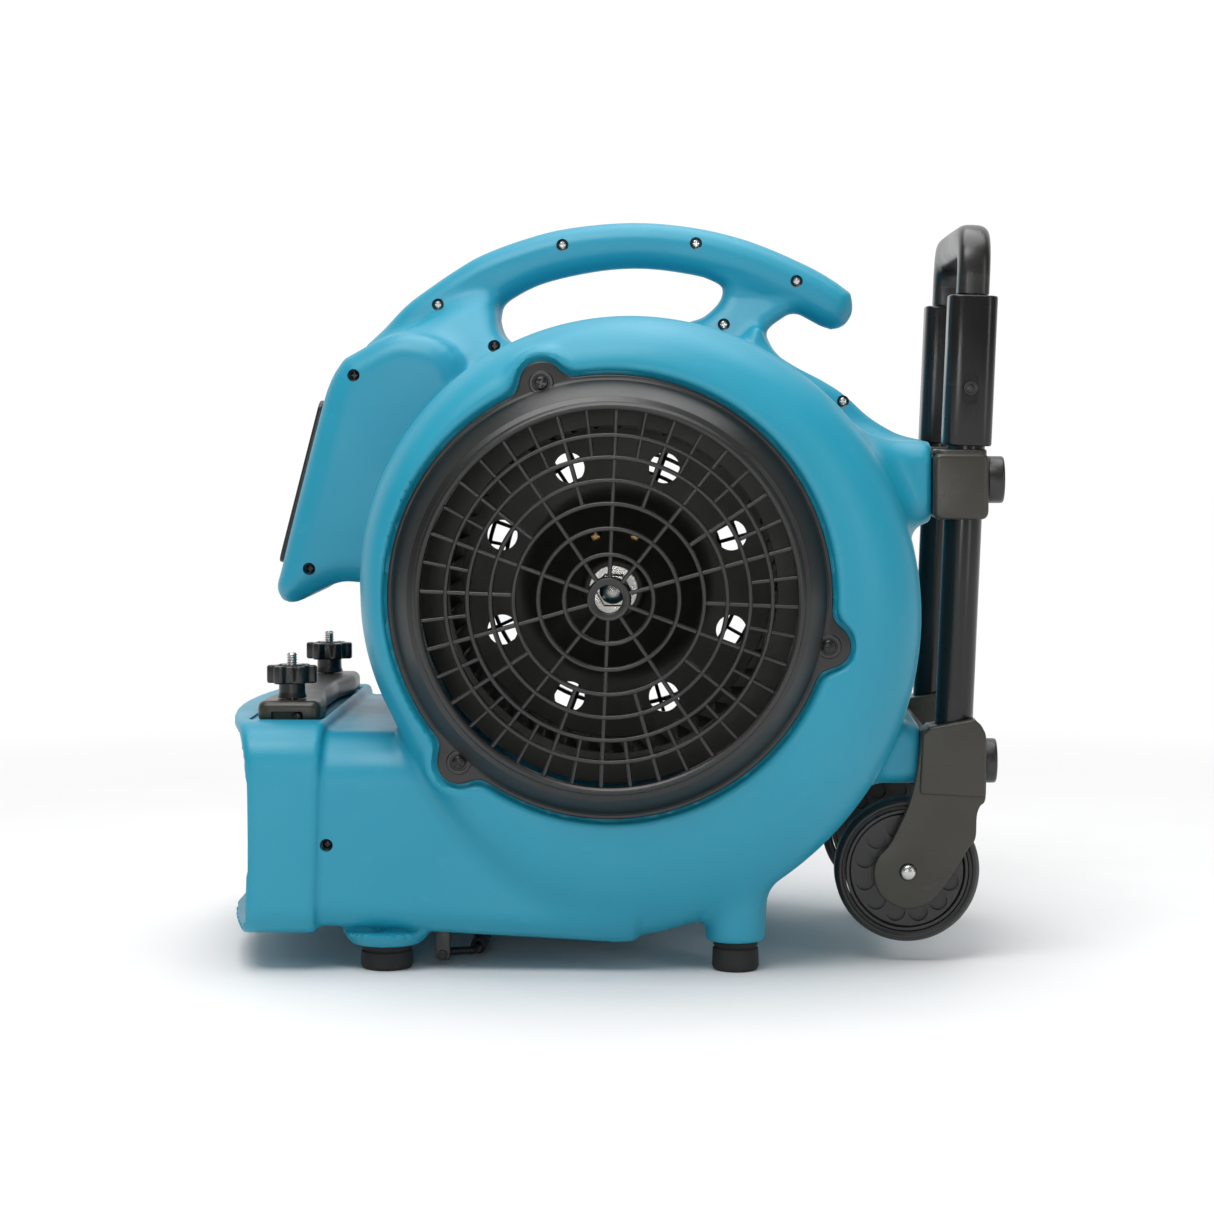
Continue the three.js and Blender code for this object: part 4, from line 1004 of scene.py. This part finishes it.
def clamp_stud():
    profile = [(0, 150), (3.1, 150)]
    z = 150.0
    while z < 211.5:
        profile += [(3.1, z + 0.5), (3.9, z + 0.95), (3.1, z + 1.4)]
        z += 1.75
    stud = turned(profile + [(3.3, 212.6), (2.6, 213.6), (0, 213.6)], "Z", NEAR_STUD, 28)
    return carved(stud, block(CLAMP_X - 6, CLAMP_X + 6, -CLAMP_Y - 0.6, -CLAMP_Y + 0.6, 211.8, 216))


# The clamp plate takes the lighter bracket black, whose colour is a painted reflection.
piece(clamp_bar(), "clamp_plate", "clamp", "black_plastic", "clamp_bar", 34, "bracket_black_painted_sheen")
end_screw = moved(screw(3.4, 1.6, 2.4), offset(CLAMP_X + 5.5, -120.6, 170.6))
piece(merged(end_screw, copied(end_screw, MIRROR_Y)), "clamp_screws", "clamp", "black_plastic", angle=40)
both_sides(clamp_knob(), "star_knob", "clamp_knob", "black_plastic", "clamp_knob", angle=36)
both_sides(clamp_stud(), "threaded_stud", "root", "steel", "clamp_stud", angle=30)

# ------------------------------------------------------------------ feet and kickstand
def foot(x, radius, top):
    return turned(filleted([(0, 0), (radius - 1.2, 0), (radius, 3.2), (radius - 0.4, top - 4.6),
            (radius - 1.6, top - 4.0), (radius - 1.6, top - 3.0), (radius - 0.6, top - 2.4),
            (radius - 0.8, top), (0, top)], [0, 2.2, 2, 0.8, 0.4, 0.4, 0.5, 0.5, 0], 3), "Z", (x, -FOOT_Y),
        64)


both_sides(foot(FRONT_FOOT_X, 18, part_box("foot_front_near")[1].z * 1000), "front_foot", "root", "rubber",
    "foot_front")
both_sides(foot(REAR_FOOT_X, 16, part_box("foot_rear_near")[1].z * 1000), "rear_foot", "root", "rubber",
    "foot_rear")

X0, Z0, REACH, HALF = -122, middle("kickstand_sleeve_near").z, 22, 122
bail = curved([(X0, -HALF - 14, Z0), (X0, -HALF - 7, Z0), (X0 + 1.5, -HALF - 1.5, Z0),
    (X0 + 7, -HALF + 0.5, Z0), (X0 + REACH - 9, -HALF + 2, Z0), (X0 + REACH - 2.4, -HALF + 4.5, Z0),
    (X0 + REACH, -HALF + 11, Z0), (X0 + REACH, -HALF + 20, Z0), (X0 + REACH, -30, Z0),
    (X0 + REACH, 0, Z0)], False, 7)
bail += [(x, -y, z) for x, y, z in reversed(bail[:-1])]
piece(swept(bail, wavy((0, 0), 16, lambda a: 2.8)), "stand_rod", "kickstand", "kickstand_rod",
    "kickstand_bail", 50)
sleeve = [(3.2, -HALF + 20)]
for k in range(8):
    y = -HALF + 20.6 + 6.4 * k
    sleeve += [(4.6, y), (5.6, y + 0.9), (5.6, y + 4.4), (4.6, y + 5.3)]
sleeve += [(4.4, -HALF + 71.8), (3.2, -HALF + 71.8)]
both_sides(turned(sleeve, "Y", (X0 + REACH, Z0), 32), "stand_grip", "kickstand", "rubber",
    "kickstand_sleeve")
clip = prism(filleted([(X0 - 5, 3.7), (X0 + 5, 3.7), (X0 + 5, 24.6), (X0 - 5, 24.6)], [3.5, 3.5, 0, 0], 6),
    -HALF - 14, -HALF - 7.5, "Y", 0.7, 2)
clip = carved(clip, drill(3.2, -HALF - 20, -HALF, "Y", (X0, Z0), 32))
both_sides(clip, "stand_clip", "root", "black_plastic", "kickstand_clip")

# ------------------------------------------------------------------ handle tubes and brackets
def bracket_cap(z, x0, x1, radius):
    profile = filleted([(0, x0), (radius, x0), (radius, x1), (radius - 4.5, x1), (radius - 5.2, x1 - 0.9),
        (0, x1 - 0.9)], [0, 0.6, 2.2, 0.4, 0.4, 0], 4)
    return turned(profile, "X", (-100, z), 56)


def bracket_block(outline, y0, y1, bevel, tube_from):
    shape = prism(outline, y0, y1, "Y", bevel, 4)
    tube = moved(drill(TUBE_HOLE_R, tube_from, 420, "Z", (0, -TUBE_Y), 40), LEANING)
    return carved(shape, tube)


def upper_bracket():
    side = bracket_block(rectangle(213.4, 307, 251.3, 352.5, 6), -122, -86, 3.4, 60)
    lip = carved(prism(rectangle(214.4, -121, 250.3, -87, 8), 350, 355, "Z", 1.6, 3),
        moved(drill(TUBE_HOLE_R, 300, 420, "Z", (0, -TUBE_Y), 40), LEANING))
    rib = prism(filleted([(213.4, 311), (219, 311), (219, 349), (213.4, 349)], [0, 2, 2, 0], 3), -92, 92,
        "Y")
    edges = [softened(block(218, 221.5, -88, 88, z, z + 3, 0), 0.9, 2) for z in (311.5, 328.5, 345.5)]
    return merged(side, lip, copied(side, MIRROR_Y), copied(lip, MIRROR_Y), rib, *edges)


ARM = curved([(206.3, 161), (205, 149), (203, 133), (199, 115), (193, 100), (185, 84), (177.5, 75.5),
    (174.4, 67), (175, 57), (180, 47.3), (189, 41), (199, 39), (212, 42.5), (222, 53), (232, 68),
    (239, 80.5), (244, 88), (244.8, 103), (247, 110), (250.6, 115), (251, 135), (251, 155), (249, 163),
    (243, 169), (228, 168), (212, 164)], True, 4)
HEAD = filleted([(204.8, 118), (250.4, 116), (251, 155), (249, 163), (243, 170.5), (212, 164.8),
    (206.4, 160)], [3, 3, 3, 4, 3, 3, 3], 4)


def wheel_bracket():
    arm = prism(ARM, -121.4, -117, "Y", 1.3, 3)
    arm = carved(arm, drill(5.9, -130, -110, "Y", (WHEEL_X, WHEEL_Z), 32))
    inner_rib = prism(curved([(209, 122), (214, 110), (236, 108), (242, 122)], True, 5), -118, -113.5, "Y",
        1, 2)
    head = bracket_block(HEAD, -122.6, -88, 2.8, 126)
    web = prism(filleted([(206.4, 124), (213.6, 124), (213.6, 158), (206.4, 158)], [0, 2, 2, 0], 3), -92,
        92, "Y")
    return merged(arm, head, inner_rib, *[copied(s, MIRROR_Y) for s in (arm, head, inner_rib)], web)


# The brackets' lighter, warmer black is a painted warm reflection.
piece(upper_bracket(), "tube_bracket_upper", "root", "black_plastic", "upper_bracket", 34, "bracket_black_painted_sheen")
piece(wheel_bracket(), "tube_bracket_lower", "root", "black_plastic", "wheel_bracket", 34, "bracket_black_painted_sheen")
both_sides(bracket_cap(334, 251.8, 263, 16.2), "upper_plug", "root", "black_plastic", "upper_cap")
low, high = ([v * 1000 for v in corner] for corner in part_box("lower_cap_near"))
plug = bracket_cap((low[2] + high[2]) / 2, low[0] - SHIFT, high[0] - SHIFT, (high[2] - low[2]) / 2)
both_sides(plug, "lower_plug", "root", "black_plastic", "lower_cap")
outer = filleted([(11.5, 126.6), (13, 126.6), (13, 449.8), (11.5, 449.8)], 0.5, 2)
both_sides(moved(turned(outer, "Z", (0, -TUBE_Y), 56), LEANING), "fixed_tube", "root", "tube_black",
    "outer_tube")
sleeve_shape = prism(rectangle(-16.7, -TUBE_Y - 16.7, 16.7, -TUBE_Y + 16.7, 10, 8), 357.7, 460.2, "Z", 1.6,
    4)
for radius, z0, z1 in ((TUBE_HOLE_R, 300, 450.6), (11.6, 400, 500)):
    sleeve_shape = carved(sleeve_shape, drill(radius, z0, z1, "Z", (0, -TUBE_Y), 48))
slot_outline = [(5.9 * cos(a), 397 + (4.8 if sin(a) >= 0 else -4.8) + 5.9 * sin(a)) for a in np.linspace(0,
    2 * pi, 41)[:-1]]
sleeve_shape = carved(sleeve_shape, prism(slot_outline, -TUBE_Y - 30, -TUBE_Y - 14, "Y"))
both_sides(moved(sleeve_shape, LEANING), "lock_collar", "root", "tube_black", "lock_sleeve", angle=36)
y = -TUBE_Y - 16.75
pin = filleted([(0, y - 1.5), (2.2, y - 1.5), (2.4, y - 0.9), (3.6, y - 0.9), (3.8, y - 1.7),
    (4.9, y - 1.7), (4.9, y + 0.4), (0, y + 0.4)], [0, 0.3, 0.3, 0.3, 0.3, 0.6, 0, 0], 2)
both_sides(moved(turned(pin, "Y", (0, 397), 40), LEANING), "release_pin", "lock_button", "black_plastic",
    "lock_button")
inner = filleted([(9.4, 180.2), (10.9, 180.2), (10.9, 461), (9.4, 461)], 0.5, 2)
inner_shape = moved(turned(inner, "Z", (0, -TUBE_Y), 48), LEANING)
both_sides(inner_shape, "slide_tube", "pull_handle", "tube_black", "inner_tube")


def grip_section(t):
    """A rounded square at the legs that grows into a fuller hand hold across the top."""
    hold = exp(-((t - 0.5) / 0.26) ** 4)
    a, b = 11 + 0.4 * hold, 11 + 0.8 * hold
    power = 3.6 - 0.7 * hold
    out = []
    for k in range(32):
        angle = 2 * pi * k / 32
        c, s = cos(angle), sin(angle)
        out.append((copysign(abs(c) ** (2 / power), c) * a, copysign(abs(s) ** (2 / power), s) * b))
    return out


rise = [(0, -TUBE_Y, 461.4), (0, -TUBE_Y, 470), (0, -TUBE_Y, 477), (0, -TUBE_Y + 2.5, 486.4),
    (0, -TUBE_Y + 9.5, 494), (0, -TUBE_Y + 20, 498.2), (0, -TUBE_Y + 36, 499), (0, -40, 499.2),
    (0, 0, 499.4)]
route = curved(rise, False, 5)
route += [(x, -y, z) for x, y, z in reversed(route[:-1])]
grip_shape = moved(swept(route, grip_section), LEANING)
piece(grip_shape, "hand_grip", "pull_handle", "black_plastic", "grip", 60)

# ------------------------------------------------------------------ wheels
def wheel_hub():
    out_, in_ = -WHEEL_Y - 10, -WHEEL_Y + 10
    hub = turned(filleted([(6, out_ - 0.5), (17, out_ - 0.5), (19.5, out_ + 2.2), (38.8, out_ + 2.2),
            (40, out_), (42.3, out_), (42.3, in_), (40, in_), (38.5, in_ - 3), (14, in_ - 3), (13, in_),
            (6, in_)], [0.6, 1.2, 1.6, 0.8, 0.6, 0.8, 0.8, 0.6, 1, 1, 0.8, 0.6], 3), "Y",
        (WHEEL_X, WHEEL_Z), 96)
    for k in range(12):
        a = radians(15 + 30 * k)
        x, z = WHEEL_X + 30 * cos(a), WHEEL_Z + 30 * sin(a)
        for low, high in ((out_ - 3, out_ + 5.4), (in_ - 6.2, in_ + 3)):
            hub = carved(hub, drill(6.7, low, high, "Y", (x, z), 32))
    return hub


def tyre():
    out_, in_ = -WHEEL_Y - 11, -WHEEL_Y + 11
    return turned(filleted([(42.7, out_ + 0.6), (44.4, out_ + 1.4), (45.6, out_), (47.2, out_),
            (50, out_ + 4.5), (50, in_ - 4.5), (47.2, in_), (45.6, in_), (44.4, in_ - 1.4),
            (42.7, in_ - 0.6)], [0, 0.5, 0.6, 2, 3.5, 3.5, 2, 0.6, 0.5, 0], 4), "Y", (WHEEL_X, WHEEL_Z),
        112)


both_sides(wheel_hub(), "wheel_centre", "wheel", "black_plastic", "wheel_hub", angle=36)
both_sides(tyre(), "wheel_tread", "wheel", "tyre", "tyre", angle=36)
rod_end = -121.5
rod = filleted([(0, rod_end - 0.8), (5.4, rod_end - 0.8), (5.4, -rod_end + 0.8), (0, -rod_end + 0.8)],
    [0, 0.5, 0.5, 0], 2)
piece(turned(rod, "Y", (WHEEL_X, WHEEL_Z), 40), "wheel_axle", "root", "steel", "axle")
cap = [(0, rod_end - 4.3)] + [(5.4 * sin(a), rod_end - 1.6 - 2.7 * cos(a)) for a in np.linspace(0.2,
    pi / 2, 7)]
both_sides(turned(cap + [(5.4, rod_end - 1.1), (0, rod_end - 1.1)], "Y", (WHEEL_X, WHEEL_Z), 40),
    "axle_dome", "root", "steel", "axle_cap", angle=50)

# ------------------------------------------------------------------ pieces kept from the CAD model
record_slots = {s["node"]: s["material_slot"] for s in frame["record"]["subparts"]}
for node, obj in frame["nodes"].items():
    if not obj.hide_render:
        obj.data.materials.clear()
        obj.data.materials.append(MATERIALS[record_slots[node]])
        print("kept", node)

# ------------------------------------------------------------------ floor
floor_shape = bmesh.new()
bmesh.ops.create_grid(floor_shape, x_segments=1, y_segments=1, size=12)
floor_mesh = bpy.data.meshes.new("floor")
floor_shape.to_mesh(floor_mesh)
floor_shape.free()
ground = MATERIALS["floor"].node_tree
place = ground.nodes.new("ShaderNodeTexCoord")
length = ground.nodes.new("ShaderNodeVectorMath")
length.operation = "LENGTH"
ground.links.new(place.outputs["Object"], length.inputs[0])
far_off = ranged(ground.nodes, ground.links, length.outputs["Value"], 0.45, 1.5, 0, 1)
glow = ground.nodes.new("ShaderNodeEmission")
glow.inputs["Strength"].default_value = 1.0
blend = ground.nodes.new("ShaderNodeMixShader")
ground.links.new(far_off, blend.inputs["Fac"])
ground.links.new(ground.nodes["Principled BSDF"].outputs["BSDF"], blend.inputs[1])
ground.links.new(glow.outputs["Emission"], blend.inputs[2])
ground.links.new(blend.outputs["Shader"], ground.nodes["Material Output"].inputs["Surface"])
floor_mesh.materials.append(MATERIALS["floor"])
floor = bpy.data.objects.new("floor", floor_mesh)
scene.collection.objects.link(floor)
